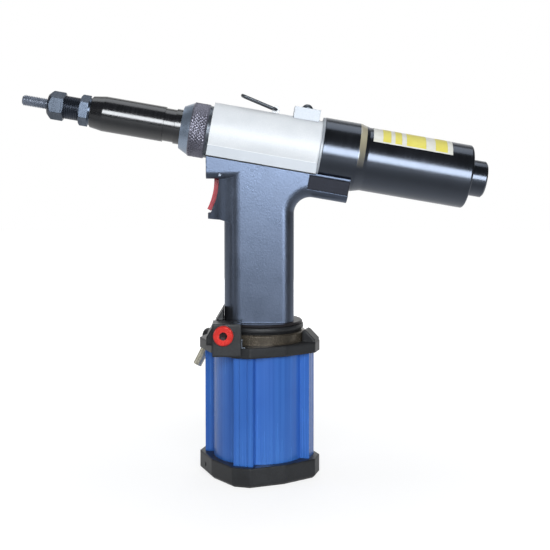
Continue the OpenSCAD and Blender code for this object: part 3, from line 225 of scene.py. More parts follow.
@dataclass(frozen=True)
class Finish:
    """One finish: what the surface is made of and how it was made.

    The colour drifts between two tones in patches, the roughness drifts with it, and a bump gives the grain.
    Grain that is too fine to show in the render is drawn as coarse as it needs to show.
    """

    name: str
    tone: str
    shade: str
    metallic: float
    roughness: float
    spread: float
    grain: Grain
    grain_mm: float
    depth_mm: float
    patch_mm: float = 18.0
    ior: float = 1.5
    edge_mm: float = 0.4
    gleam: str = "#ffffff"
    marked: str = "#000000"
    marked_gloss: float = PLAIN_GLOSS
    strength: float = 0.6

    def mask(self, tree: Tree, place: Socket) -> Socket | None:
        """Says where the surface has its marked colour instead of its two tones.

        Args:
            tree: The material's node tree.
            place: Object coordinates.

        Returns:
            A socket that is 1 where the surface is marked, or None for a surface without marks.
        """
        return None

    def build(self) -> bpy.types.Material:
        """Makes the material, or returns it if it is there already.

        Returns:
            The finish as a Blender material.
        """
        made = bpy.data.materials.get(self.name)
        if made is not None:
            return made
        made = bpy.data.materials.new(self.name)
        made.use_nodes = True
        tree = made.node_tree
        tree.nodes.clear()
        surface = add_node(tree, "ShaderNodeBsdfPrincipled")
        surface.inputs["Metallic"].default_value = self.metallic
        surface.inputs["IOR"].default_value = self.ior
        surface.inputs["Specular Tint"].default_value = linear(self.gleam)
        place = add_node(tree, "ShaderNodeTexCoord").outputs["Object"]
        along = self.directed(tree, place)
        self.colour(tree, place, along, surface)
        bump = add_node(
            tree,
            "ShaderNodeBump",
            {
                "Height": self.height(tree, place, along),
                "Strength": self.strength,
                "Distance": self.depth_mm * MM,
                "Normal": self.broken_edge(tree),
            },
        )
        tree.links.new(bump.outputs["Normal"], surface.inputs["Normal"])
        out = add_node(tree, "ShaderNodeOutputMaterial")
        tree.links.new(surface.outputs["BSDF"], out.inputs["Surface"])
        return made

    def directed(self, tree: Tree, place: Socket) -> Socket:
        """Stretches the coordinates the way the surface was made.

        Args:
            tree: The material's node tree.
            place: Object coordinates.

        Returns:
            Coordinates in which an even noise has the grain's direction.
        """
        if self.grain is Grain.DRAWN:
            stretch = (1, 1, DRAWN_STRETCH)
        elif self.grain is Grain.TURNED:
            place = head_place(tree, place)
            stretch = (1, TURNED_STRETCH, TURNED_STRETCH)
        else:
            return place
        return add_node(tree, "ShaderNodeMapping", {"Vector": place, "Scale": stretch}).outputs[0]

    def colour(self, tree: Tree, place: Socket, along: Socket, surface: bpy.types.Node) -> None:
        """Gives the surface its two drifting tones and its drifting roughness.

        Args:
            tree: The material's node tree.
            place: Object coordinates.
            along: Coordinates with the grain's direction.
            surface: The shader that takes the colour and the roughness.
        """
        patches = add_node(
            tree,
            "ShaderNodeTexNoise",
            {"Vector": place, "Scale": 1 / (self.patch_mm * MM), "Detail": NOISE_DETAIL},
        )
        streaks = add_node(
            tree,
            "ShaderNodeTexNoise",
            {"Vector": along, "Scale": 1 / (self.grain_mm * MM), "Detail": STREAK_DETAIL},
        )
        both = add_node(
            tree,
            "ShaderNodeMath",
            {0: patches.outputs["Fac"], 1: streaks.outputs["Fac"]},
            operation="MULTIPLY",
        )
        spread = add_node(
            tree,
            "ShaderNodeMapRange",
            {"Value": both.outputs[0], "From Min": TONE_SPAN[0], "From Max": TONE_SPAN[1]},
        )
        tones = add_node(
            tree,
            "ShaderNodeMix",
            {"Factor": spread.outputs[0], "A": linear(self.shade), "B": linear(self.tone)},
            data_type="RGBA",
        )
        result = tones.outputs["Result"]
        where = self.mask(tree, place)
        if where is not None:
            result = add_node(
                tree,
                "ShaderNodeMix",
                {"Factor": where, "A": result, "B": linear(self.marked)},
                data_type="RGBA",
            ).outputs["Result"]
        if where is not None and self.marked_gloss != PLAIN_GLOSS:
            gloss = add_node(
                tree,
                "ShaderNodeMapRange",
                {"Value": where, "To Min": PLAIN_GLOSS, "To Max": self.marked_gloss},
            )
            tree.links.new(gloss.outputs[0], surface.inputs["Specular IOR Level"])
        tree.links.new(result, surface.inputs["Base Color"])
        rough = add_node(
            tree,
            "ShaderNodeMapRange",
            {
                "Value": both.outputs[0],
                "From Min": ROUGH_SPAN[0],
                "From Max": ROUGH_SPAN[1],
                "To Min": self.roughness - self.spread,
                "To Max": self.roughness + self.spread,
            },
        )
        tree.links.new(rough.outputs[0], surface.inputs["Roughness"])

    def broken_edge(self, tree: Tree) -> Socket:
        """Rounds the shading of sharp edges, which a real casting or turned piece has broken.

        Args:
            tree: The material's node tree.

        Returns:
            The normal with rounded edges, or the plain normal where the edges stay as they are.
        """
        if self.edge_mm == 0:
            return add_node(tree, "ShaderNodeNewGeometry").outputs["Normal"]
        radius = self.edge_mm * MM
        return add_node(tree, "ShaderNodeBevel", {"Radius": radius}, samples=EDGE_SAMPLES).outputs[0]

    def height(self, tree: Tree, place: Socket, along: Socket) -> Socket:
        """Makes the grain, which becomes the surface's bump.

        Args:
            tree: The material's node tree.
            place: Object coordinates.
            along: Coordinates with the grain's direction.

        Returns:
            A socket with the height of the grain.
        """
        scale = 1 / (self.grain_mm * MM)
        if self.grain is Grain.PEBBLE:
            return add_node(
                tree, "ShaderNodeTexVoronoi", {"Vector": place, "Scale": scale}, feature="SMOOTH_F1"
            ).outputs["Distance"]
        return add_node(
            tree, "ShaderNodeTexNoise", {"Vector": along, "Scale": scale, "Detail": NOISE_DETAIL}
        ).outputs["Fac"]


@dataclass(frozen=True)
class ThreadedSteel(Finish):
    """Blued steel whose shank carries a fine thread, as a bump inside a radius of the head axis."""

    pitch_mm: float = 1.5
    inside_mm: float = 8.8

    def mask(self, tree: Tree, place: Socket) -> Socket | None:
        """Marks the shank, which is blacker than the head.

        Args:
            tree: The material's node tree.
            place: Object coordinates.

        Returns:
            A socket that is 1 on the shank.
        """
        axes = head_axes(tree, place)
        flat = add_node(tree, "ShaderNodeCombineXYZ", {1: axes.outputs[1], 2: axes.outputs[2]})
        return close_by(tree, flat.outputs[0], self.inside_mm * MM)

    def height(self, tree: Tree, place: Socket, along: Socket) -> Socket:
        """Makes the thread of the shank, and leaves the rest smooth.

        Args:
            tree: The material's node tree.
            place: Object coordinates.
            along: Coordinates with the grain's direction.

        Returns:
            A socket with the height of the thread.
        """
        line = add_node(tree, "ShaderNodeCombineXYZ", {0: head_axes(tree, place).outputs[0]})
        ridges = add_node(
            tree,
            "ShaderNodeTexWave",
            {"Vector": line.outputs[0], "Scale": WAVE_PERIOD / (self.pitch_mm * MM)},
        )
        shank = self.mask(tree, place)
        return add_node(
            tree, "ShaderNodeMath", {0: ridges.outputs["Fac"], 1: shank}, operation="MULTIPLY"
        ).outputs[0]


@dataclass(frozen=True)
class GripCoat(Finish):
    """Textured coat of the grip, with painted shade that darkens the recesses of the rear arm and takes their
    sheen away, and darker round the foot.
    """

    recess_from_mm: float = 40.6
    recess_to_mm: float = 200.0
    recess_low_mm: float = -29.0
    recess_high_mm: float = -18.6
    inside_mm: float = 20.0
    foot_mm: float = 115.8

    def mask(self, tree: Tree, place: Socket) -> Socket | None:
        """Marks the recesses in the sides of the rear arm, which get painted shade, and the turned foot,
        which is darker.

        Args:
            tree: The material's node tree.
            place: Object coordinates.

        Returns:
            A socket that is 1 inside a recess and on the foot.
        """
        axes = head_axes(tree, place)
        # The recesses are darkened and their sheen taken away as painted shade.
        along = between(tree, axes.outputs[0], self.recess_from_mm * MM, self.recess_to_mm * MM)
        height = between(tree, axes.outputs[2], self.recess_low_mm * MM, self.recess_high_mm * MM)
        side = between(tree, axes.outputs[1], -self.inside_mm * MM, self.inside_mm * MM)
        both = add_node(tree, "ShaderNodeMath", {0: along, 1: height}, operation="MULTIPLY")
        recess = add_node(tree, "ShaderNodeMath", {0: both.outputs[0], 1: side}, operation="MULTIPLY")
        level = add_node(tree, "ShaderNodeSeparateXYZ", {0: place})
        foot = add_node(
            tree, "ShaderNodeMath", {0: level.outputs[2], 1: self.foot_mm * MM}, operation="LESS_THAN"
        )
        return add_node(
            tree, "ShaderNodeMath", {0: recess.outputs[0], 1: foot.outputs[0]}, operation="MAXIMUM"
        ).outputs[0]


@dataclass(frozen=True)
class PaintedHighlightBand(Finish):
    """A finish with one band of painted highlight, in another tone, between two stations of the head, fading
    out below a height.
    """

    band_from_mm: float = 0.0
    band_to_mm: float = 0.0
    fade_low_mm: float = -60.0
    fade_high_mm: float = -50.0

    def mask(self, tree: Tree, place: Socket) -> Socket | None:
        """Marks the band of painted highlight.

        Args:
            tree: The material's node tree.
            place: Object coordinates.

        Returns:
            A socket that is 1 on the band.
        """
        axes = head_axes(tree, place)
        band = between(tree, axes.outputs[0], self.band_from_mm * MM, self.band_to_mm * MM)
        # The painted highlight fades out below a height, as if lit from above.
        fade = add_node(
            tree,
            "ShaderNodeMapRange",
            {
                "Value": axes.outputs[2],
                "From Min": self.fade_low_mm * MM,
                "From Max": self.fade_high_mm * MM,
            },
        )
        both = add_node(tree, "ShaderNodeMath", {0: band, 1: fade.outputs[0]}, operation="MULTIPLY")
        return both.outputs[0]


@dataclass(frozen=True)
class HousingSkin(Finish):
    """Blasted skin of the head housing, with painted shade that greys the flat strip over the seam."""

    strip_low_mm: float = -30.0
    strip_high_mm: float = -9.5

    def mask(self, tree: Tree, place: Socket) -> Socket | None:
        """Marks the strip along the foot of the housing, which gets painted shade.

        Args:
            tree: The material's node tree.
            place: Object coordinates.

        Returns:
            A socket that is 1 on the strip.
        """
        axes = head_axes(tree, place)
        return between(tree, axes.outputs[2], self.strip_low_mm * MM, self.strip_high_mm * MM)


@dataclass(frozen=True)
class SocketCap(Finish):
    """Anodised cap with painted shade in its hexagon socket."""

    centre_mm: tuple[float, float] = (-25.6, 110.5)
    inside_mm: float = 2.85

    def mask(self, tree: Tree, place: Socket) -> Socket | None:
        """Marks the socket, which gets painted shade, about the cap's own axis, which points to the near
        side.

        Args:
            tree: The material's node tree.
            place: Object coordinates.

        Returns:
            A socket that is 1 inside the hexagon socket.
        """
        x, z = (value * MM for value in self.centre_mm)
        moved = add_node(tree, "ShaderNodeVectorMath", {0: place, 1: (x, 0.0, z)}, operation="SUBTRACT")
        flat = add_node(
            tree, "ShaderNodeVectorMath", {0: moved.outputs[0], 1: (1.0, 0.0, 1.0)}, operation="MULTIPLY"
        )
        return close_by(tree, flat.outputs[0], self.inside_mm * MM)


# Die-cast aluminium under satin black paint: near black, softly shining, with a fine cast grain.
BLACK_CASTING = Finish(
    "painted_black_casting", "#2e2f31", "#202123", 0.0, 0.4, 0.06, Grain.CAST, 0.9, 0.05, edge_mm=2.2
)
# Anodised aluminium extrusion: clear blue with fine upright draw lines that catch the light.
BLUE_EXTRUSION = Finish(
    "anodised_blue_extrusion", "#4680d6", "#3567bd", 0.15, 0.26, 0.04, Grain.DRAWN, 3.0, 0.006,
    patch_mm=90.0, edge_mm=0.8,
)
# Aluminium grip under a textured black coat: black where it turns away, grey blue where its flats face the
# light. The index stands for the coat's sheen. The dark, dull marked colour is painted shade in the recesses
# of the rear arm, and the darker colour of the foot.
TEXTURED_GRIP = GripCoat(
    "textured_grip_coat", "#2f2f30", "#1f1f20", 0.0, 0.33, 0.06, Grain.PEBBLE, 1.1, 0.05,
    ior=2.45, edge_mm=1.0, gleam="#c2d8ff", marked="#2c292a", marked_gloss=0.03,
)
# The same coat on the fillers beside the web, whose edges must not show.
FILLED_GRIP = replace(TEXTURED_GRIP, name="textured_grip_filler", edge_mm=0.0)
# Bead-blasted, clear-anodised aluminium: nearly white, with painted shade that greys the strip over the seam.
SILVER_HOUSING = HousingSkin(
    "blasted_silver_aluminium", "#eef0f2", "#e4e7ea", 0.05, 0.48, 0.05, Grain.CAST, 0.7, 0.02,
    marked="#c9ced4",
)
# The same blasted aluminium on loose pieces: pale grey.
SILVER_COVER = Finish("blasted_silver_cover", "#b4b9bf", "#a4a9b0", 0.25, 0.4, 0.05, Grain.CAST, 0.7, 0.02)
# Turned steel under a polished black oxide skin of index 2.0: black, with a long white highlight.
GLOSS_BLACK = Finish(
    "black_oxide_gloss", "#1b1c20", "#101114", 0.0, 0.2, 0.04, Grain.TURNED, 0.8, 0.006, ior=2.0
)
# Turned aluminium under a black anodic skin of index 2.1: black, with a broad soft highlight, faint turning
# rings and a pale painted highlight on the chamfer at the step, brightest on top and fading out towards the
# bottom.
SATIN_BLACK = PaintedHighlightBand(
    "black_anodised_satin", "#17181b", "#0f1012", 0.0, 0.22, 0.04, Grain.TURNED, 0.6, 0.009, ior=2.1,
    gleam="#dbe8ff", marked="#b9b095",
    fade_low_mm=-8.0, fade_high_mm=16.0, band_from_mm=72.4, band_to_mm=77.2,
)
# Blackened knurled steel: grey violet on the crests, dark in the cuts, with a paler blue grey painted on the
# smooth cone as a painted highlight.
KNURLED = PaintedHighlightBand(
    "blackened_knurled_steel", "#9e9dac", "#565560", 0.75, 0.3, 0.06, Grain.CAST, 0.6, 0.008,
    edge_mm=0.0, marked="#9aa8bb", band_from_mm=-59.0, band_to_mm=-51.4,
)
# Blued tool steel: cool grey blue with soft turning marks, and a threaded shank.
BLUED = ThreadedSteel(
    "blued_tool_steel", "#5c6572", "#3d4550", 0.75, 0.3, 0.06, Grain.TURNED, 0.6, 0.5,
    marked="#3d434e", strength=0.9,
)
# Bright zinc plate on steel: mid grey with pale facets, a little cloudy.
BRIGHT_PLATE = Finish("bright_zinc_plate", "#8f97a3", "#707884", 1.0, 0.2, 0.05, Grain.POLISHED, 3.0, 0.004)
# Black oxide on threaded steel: dark grey with a weak shine.
BLACK_OXIDE = Finish(
    "black_oxide_steel", "#787e86", "#494e55", 0.7, 0.36, 0.05, Grain.CAST, 0.8, 0.005, edge_mm=0.0
)
# Rolled thread of hardened steel, oiled: grey blue on the crests.
ROLLED_THREAD = Finish(
    "rolled_thread_steel", "#a2a9b6", "#707887", 0.5, 0.3, 0.05, Grain.CAST, 0.8, 0.005, edge_mm=0.0
)
# Dull zinc plate on the lock nut: cool mid grey, brighter on its edges.
DULL_ZINC = Finish(
    "dull_zinc_plate", "#66707e", "#4d5664", 0.9, 0.28, 0.05, Grain.POLISHED, 3.0, 0.004, edge_mm=0.7
)
# Moulded red nylon: slightly pink where the light grazes it.
RED_TRIGGER = Finish("moulded_red_nylon", "#c5303f", "#b02838", 0.0, 0.34, 0.05, Grain.POLISHED, 2.0, 0.006)
# Red anodised aluminium cap: saturated and glossy, with painted shade in its socket.
RED_CAP = SocketCap(
    "anodised_red_cap", "#ea342b", "#cf2a22", 0.1, 0.26, 0.05, Grain.POLISHED, 2.0, 0.015, marked="#2a0a0c"
)
# Nickel-plated brass fitting: warm pale metal.
NICKEL_BRASS = Finish("nickel_plated_brass", "#e0dac8", "#c4bca4", 0.5, 0.24, 0.05, Grain.POLISHED, 2.0, 0.02)
# Collar of painted steel: brown black, half gloss.
COLLAR_PAINT = Finish("half_gloss_collar_paint", "#6a6154", "#3f3a33", 0.5, 0.24, 0.05, Grain.CAST, 0.9, 0.02)
# Nitrile rubber: matt black.
RUBBER = Finish("nitrile_rubber", "#1d1d1e", "#141415", 0.0, 0.62, 0.05, Grain.CAST, 0.6, 0.03)
# Ground steel for the inner pieces.
GROUND_STEEL = Finish("ground_steel", "#b9bdc3", "#999ea5", 1.0, 0.28, 0.06, Grain.TURNED, 0.7, 0.015)
# Drawn spring wire of the bail: dark grey, half bright.
SPRING_WIRE = Finish("drawn_spring_wire", "#63676d", "#45484d", 0.8, 0.34, 0.05, Grain.CAST, 0.8, 0.01)
# Turned bronze for glands, cartridges and washers.
BRONZE = Finish("turned_bronze", "#b98a4a", "#97692f", 1.0, 0.3, 0.06, Grain.CAST, 0.9, 0.02)
# Woven phenolic sheet for the motor vanes.
PHENOLIC = Finish("phenolic_vane_sheet", "#7a5433", "#5d3d22", 0.0, 0.5, 0.06, Grain.CAST, 0.6, 0.03)
# Sintered plastic silencer: open grey grains.
SINTERED = Finish("sintered_silencer", "#7a7e83", "#5c6066", 0.0, 0.7, 0.06, Grain.PEBBLE, 1.2, 0.2)
# Coated paper label: plain white film with a satin face.
LABEL_FILM = Finish("white_label_film", "#f3f2ea", "#e8e6da", 0.0, 0.4, 0.04, Grain.POLISHED, 4.0, 0.01)
# Printed band on the label: flat yellow ink.
LABEL_INK = Finish("yellow_label_ink", "#f5e973", "#eee062", 0.0, 0.42, 0.04, Grain.POLISHED, 4.0, 0.01)


def coat(obj: Piece, finish: Finish) -> None:
    """Puts one finish on every material slot of an object.

    Args:
        obj: Mesh object to dress.
        finish: Finish that it gets.
    """
    material = finish.build()
    if not obj.data.materials:
        obj.data.materials.append(material)
    for index in range(len(obj.data.materials)):
        obj.data.materials[index] = material


def mesh_object(name: str, shape: bmesh.types.BMesh) -> Piece:
    """Turns a bmesh into an object of the scene.

    Args:
        name: Name of the object.
        shape: Finished shape in the tool's frame; it is freed.

    Returns:
        The new object.
    """
    mesh = bpy.data.meshes.new(name)
    shape.to_mesh(mesh)
    shape.free()
    obj = bpy.data.objects.new(name, mesh)
    bpy.context.scene.collection.objects.link(obj)
    return obj


def finish_mesh(name: str, shape: bmesh.types.BMesh, finish: Finish, body: str) -> Piece:
    """Turns a bmesh into a dressed piece that rides on a body.

    Args:
        name: Name of the piece.
        shape: Finished shape in the tool's frame; it is freed.
        finish: Finish of the piece.
        body: Body that it rides on.

    Returns:
        The new object.
    """
    bmesh.ops.remove_doubles(shape, verts=shape.verts, dist=MERGE_M)
    bmesh.ops.recalc_face_normals(shape, faces=shape.faces)
    obj = mesh_object(name, shape)
    obj.data.shade_smooth()
    obj.data.set_sharp_from_angle(angle=math.radians(SHARP_DEG))
    coat(obj, finish)
    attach(obj, body)
    LOG.info("built %s: %d faces", name, len(obj.data.polygons))
    return obj


def turned_shape(
    profile: list[tuple[float, float]], steps: int, turns: int = 1, pitch: float = 0.0
) -> bmesh.types.BMesh:
    """Spins a profile about the head axis, into a closed ring or along a screw.

    Args:
        profile: (radius, station) points in millimetres, joined in order.
        steps: Number of steps in a full turn.
        turns: Number of turns.
        pitch: Advance of a turn in millimetres, 0 for a closed ring.

    Returns:
        The spun shape in the head's own frame.
    """
    shape = bmesh.new()
    verts = [shape.verts.new((u * MM, 0.0, r * MM)) for r, u in profile]
    edges = [shape.edges.new(pair) for pair in zip(verts, verts[1:])]
    bmesh.ops.spin(
        shape,
        geom=verts + edges,
        cent=(0, 0, 0),
        axis=(1, 0, 0),
        dvec=(pitch * MM / steps, 0, 0),
        angle=math.tau * turns,
        steps=steps * turns,
        use_merge=pitch == 0,
    )
    return shape


@dataclass(frozen=True)
class Spring:
    """A helical spring wound between a front and a rear station; lengths are in millimetres."""

    name: str
    node: str
    joint: str
    radius: float
    wire: float
    front: float
    rear: float
    turns: int
    travel: float
    turn_steps: int = 24
    wire_sides: int = 10

    def build(self, place: Matrix) -> Piece:
        """Winds the spring and dresses it.

        Args:
            place: Matrix from the spring's own frame, X to the rear, to the tool's frame.

        Returns:
            The spring, which stands for the stiff solid.
        """
        steps = self.turns * self.turn_steps
        length = self.rear - self.front
        upright = Matrix.Rotation(math.pi / 2, 4, "X")
        shape = bmesh.new()
        bmesh.ops.create_circle(
            shape,
            cap_ends=True,
            segments=self.wire_sides,
            radius=self.wire * MM,
            matrix=Matrix.Translation(((self.front + self.wire) * MM, 0, self.radius * MM)) @ upright,
        )
        bmesh.ops.spin(
            shape,
            geom=shape.faces[:] + shape.edges[:] + shape.verts[:],
            cent=(0, 0, 0),
            axis=(1, 0, 0),
            dvec=((length - 2 * self.wire) * MM / steps, 0, 0),
            angle=math.tau * self.turns,
            steps=steps,
        )
        bmesh.ops.transform(shape, matrix=place, verts=shape.verts)
        obj = finish_mesh(self.name, shape, GROUND_STEEL, "tool_body")
        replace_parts(obj, self.node)
        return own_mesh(obj)


@dataclass
class Group:
    """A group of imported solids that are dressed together."""

    finishes: dict[str, Finish] = field(default_factory=dict)

    def build(self) -> None:
        """Adds nothing, because the solids of a plain group already have their shapes."""


@dataclass
class Nose(Group):
    """Mandrel, anvil, lock nut, nose casing and knurled union nut."""

    tip_u: float = -177.2
    anvil_u: float = -157.9
    root_u: float = -92.0
    thread_r: float = 4.0
    pitch: float = 1.25
    depth: float = 0.62
    thread_steps: int = 36
    thread_merge_m: float = 2e-6
    tip_chamfer: float = 1.2
    neck_r: float = 3.3
    neck_len: float = 0.5
    shank_r: float = 3.68
    shank_lead: float = 0.4
    shank_steps: int = 32
    nut_front: float = -51.3
    nut_rear: float = -38.9
    nut_r: float = 20.1
    nut_inner_r: float = 17.6
    cone_front: float = -58.2
    cone_r: float = 15.8
    casing_r: float = 13.05
    shoulder_u: float = -52.7
    knurls: int = 48
    knurl_steps: int = 6
    knurl_rows: int = 22
    knurl_depth: float = 0.55
    knurl_land: float = 0.45
    nut_edge: float = 0.7
    plain_margin: float = 0.2
    finishes: dict[str, Finish] = field(default_factory=lambda: {
        "anvil": BLUED,
        "anvil_lock_nut": DULL_ZINC,
        "nose_casing": GLOSS_BLACK,
        "nose_lock_ring": BLACK_OXIDE,
        "pull_sleeve": GROUND_STEEL,
        "thrust_ring": BRIGHT_PLATE,
        "mandrel_chuck": GROUND_STEEL,
        "drive_shaft": GROUND_STEEL,
        "mandrel": ROLLED_THREAD,
        "union_nut": KNURLED,
    })

    def build(self) -> None:
        """Builds the threaded mandrel and the knurled union nut."""
        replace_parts(self.mandrel(), "mandrel")
        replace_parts(self.union_nut(), "union_nut")

    def mandrel(self) -> Piece:
        """Builds the mandrel with its screw thread.

        Returns:
            The mandrel, which stands for the plain solid.
        """
        turns = int((self.anvil_u - self.tip_u) / self.pitch) + 2
        crest, root = self.thread_r, self.thread_r - self.depth
        start = self.tip_u - self.pitch
        # Radius of the thread's flank over the share of one pitch.
        ridge = [(root, 0.0), (root, 0.12), (crest, 0.44), (crest, 0.56), (root, 0.88), (root, 1.0)]
        profile = [(r, start + share * self.pitch) for r, share in ridge]
        shape = turned_shape(profile, self.thread_steps, turns, self.pitch)
        bmesh.ops.remove_doubles(shape, verts=shape.verts, dist=self.thread_merge_m)
        for u, way in ((self.tip_u, -1), (self.anvil_u, 1)):
            cut = bmesh.ops.bisect_plane(
                shape,
                geom=shape.verts[:] + shape.edges[:] + shape.faces[:],
                plane_co=(u * MM, 0, 0),
                plane_no=(way, 0, 0),
                clear_outer=True,
            )
            rim = [e for e in cut["geom_cut"] if isinstance(e, bmesh.types.BMEdge)]
            bmesh.ops.holes_fill(shape, edges=rim, sides=0)
        for vert in shape.verts:
            ahead = vert.co.x - self.tip_u * MM
            if ahead < self.tip_chamfer * MM:
                limit = (self.thread_r - self.tip_chamfer) * MM + ahead
                flat = Vector((0, vert.co.y, vert.co.z))
                if flat.length > limit:
                    flat *= limit / flat.length
                    vert.co = (vert.co.x, flat.y, flat.z)
        profile = [
            (0.0, self.anvil_u - self.neck_len),
            (self.neck_r, self.anvil_u - self.neck_len),
            (self.neck_r, self.anvil_u),
            (self.shank_r, self.anvil_u + self.shank_lead),
            (self.shank_r, self.root_u),
            (0.0, self.root_u),
        ]
        shank = turned_shape(profile, self.shank_steps)
        spare = bpy.data.meshes.new("spare")
        shank.to_mesh(spare)
        shank.free()
        shape.from_mesh(spare)
        bpy.data.meshes.remove(spare)
        bmesh.ops.transform(shape, matrix=HEAD.matrix(), verts=shape.verts)
        return finish_mesh("threaded_mandrel", shape, ROLLED_THREAD, "mandrel_body")

    def union_nut(self) -> Piece:
        """Builds the union nut with its diamond knurl.

        Returns:
            The nut, which stands for the plain solid.
        """
        rows = self.knurl_rows
        first, last = self.nut_front + self.nut_edge, self.nut_rear - self.nut_edge
        barrel = [(self.nut_r, first + (last - first) * k / rows) for k in range(rows + 1)]
        profile = [
            (self.casing_r, self.shoulder_u),
            (self.casing_r, self.cone_front),
            (self.cone_r, self.cone_front),
            (self.nut_r - self.nut_edge, self.nut_front),
            *barrel,
            (self.nut_r - self.nut_edge, self.nut_rear),
            (self.nut_inner_r, self.nut_rear),
            (self.nut_inner_r, self.shoulder_u),
            (self.casing_r, self.shoulder_u),
        ]
        shape = turned_shape(profile, self.knurls * self.knurl_steps)
        lead = math.tau / self.knurls
        width = self.nut_r * lead
        for vert in shape.verts:
            radius = math.hypot(vert.co.y, vert.co.z)
            u = vert.co.x / MM
            on_barrel = radius > (self.nut_r - self.plain_margin / 2) * MM
            if on_barrel and first + self.plain_margin < u < last - self.plain_margin:
                turn = math.atan2(vert.co.z, vert.co.y) / lead
                cuts = [abs((turn + side * u / width) % 1.0 - 0.5) * 2 for side in (-1, 1)]
                deepest = max(0.0, max(cuts) - self.knurl_land) / (1 - self.knurl_land)
                drop = self.knurl_depth * deepest * MM
                vert.co.y *= 1 - drop / radius
                vert.co.z *= 1 - drop / radius
        bmesh.ops.transform(shape, matrix=HEAD.matrix(), verts=shape.verts)
        return finish_mesh("knurled_union_nut", shape, KNURLED, "tool_body")


@dataclass
class PullHead(Group):
    """Silver housing with its oil cover, hanging bail, seam and pull piston."""

    finishes: dict[str, Finish] = field(default_factory=lambda: {
        "head_housing": SILVER_HOUSING,
        "oil_cover": SILVER_COVER,
        "oil_screw": BLACK_OXIDE,
        "oil_washer": BLACK_OXIDE,
        "hanger_bail": SPRING_WIRE,
        "seam_gasket": RUBBER,
        "rear_gland": GROUND_STEEL,
        "pull_piston": GROUND_STEEL,
        "piston_seal": RUBBER,
        "return_spring": GROUND_STEEL,
    })

    def build(self) -> None:
        """Builds the return spring at its rest length, though the pull piston shortens it on a stroke."""
        spring = Spring(
            name="coiled_return_spring", node="return_spring", joint="pull_stroke",
            radius=10.0, wire=1.3, front=0.2, rear=33.3, turns=5, travel=7.0,
        )
        spring.build(HEAD.matrix())


@dataclass
class RearMotor(Group):
    """Satin black rear casing with its label, and the air motor inside."""

    label_r: float = 23.78
    label_from: float = 82.0
    label_to: float = 141.0
    label_low_deg: float = 34.0
    label_high_deg: float = 112.0
    bands: tuple[tuple[float, float], ...] = ((89.0, 95.0), (98.0, 103.0), (106.5, 121.0), (128.0, 137.0))
    band_margin_deg: float = 3.0
    band_lift: float = 0.06
    film_t: float = 0.05
    film_steps: int = 40
    finishes: dict[str, Finish] = field(default_factory=lambda: {
        "casing_ring": SILVER_COVER,
        "rear_casing": SATIN_BLACK,
        "rear_plug": SATIN_BLACK,
        "gearbox": GROUND_STEEL,
        "output_carrier": GROUND_STEEL,
        "motor_front_plate": GROUND_STEEL,
        "motor_cylinder": GROUND_STEEL,
        "motor_rotor": GROUND_STEEL,
        "rotor_vanes": PHENOLIC,
        "motor_rear_plate": GROUND_STEEL,
        "exhaust_silencer": SINTERED,
    })

    def build(self) -> None:
        """Builds the plain label and the printed bands on it."""
        self.film("label_film", LABEL_FILM, self.label_from, self.label_to, 0.0, 0.0)
        for k, (start, end) in enumerate(self.bands):
            self.film(f"label_band_{k}", LABEL_INK, start, end, self.band_margin_deg, self.band_lift)

    def film(
        self, name: str, finish: Finish, start: float, end: float, margin_deg: float, lift: float
    ) -> Piece:
        """Builds one thin film that lies on the casing.

        Args:
            name: Name of the piece.
            finish: Finish of the film.
            start: Front station in millimetres.
            end: Rear station in millimetres.
            margin_deg: How far its long edges stay inside those of the label, as an angle.
            lift: Extra height above the label's face in millimetres.

        Returns:
            The film as an object.
        """
        shape = bmesh.new()
        low = math.radians(self.label_low_deg + margin_deg)
        wrap = math.radians(self.label_high_deg - self.label_low_deg - 2 * margin_deg)
        inner, outer = (self.label_r + lift - self.film_t) * MM, (self.label_r + lift) * MM
        corners = [(start * MM, inner), (end * MM, inner), (end * MM, outer), (start * MM, outer)]
        verts = [shape.verts.new((u, -r * math.cos(low), r * math.sin(low))) for u, r in corners]
        face = shape.faces.new(verts)
        bmesh.ops.spin(
            shape,
            geom=[face, *face.edges, *face.verts],
            cent=(0, 0, 0),
            axis=(-1, 0, 0),
            angle=wrap,
            steps=self.film_steps,
        )
        bmesh.ops.transform(shape, matrix=HEAD.matrix(), verts=shape.verts)
        return finish_mesh(name, shape, finish, "tool_body")


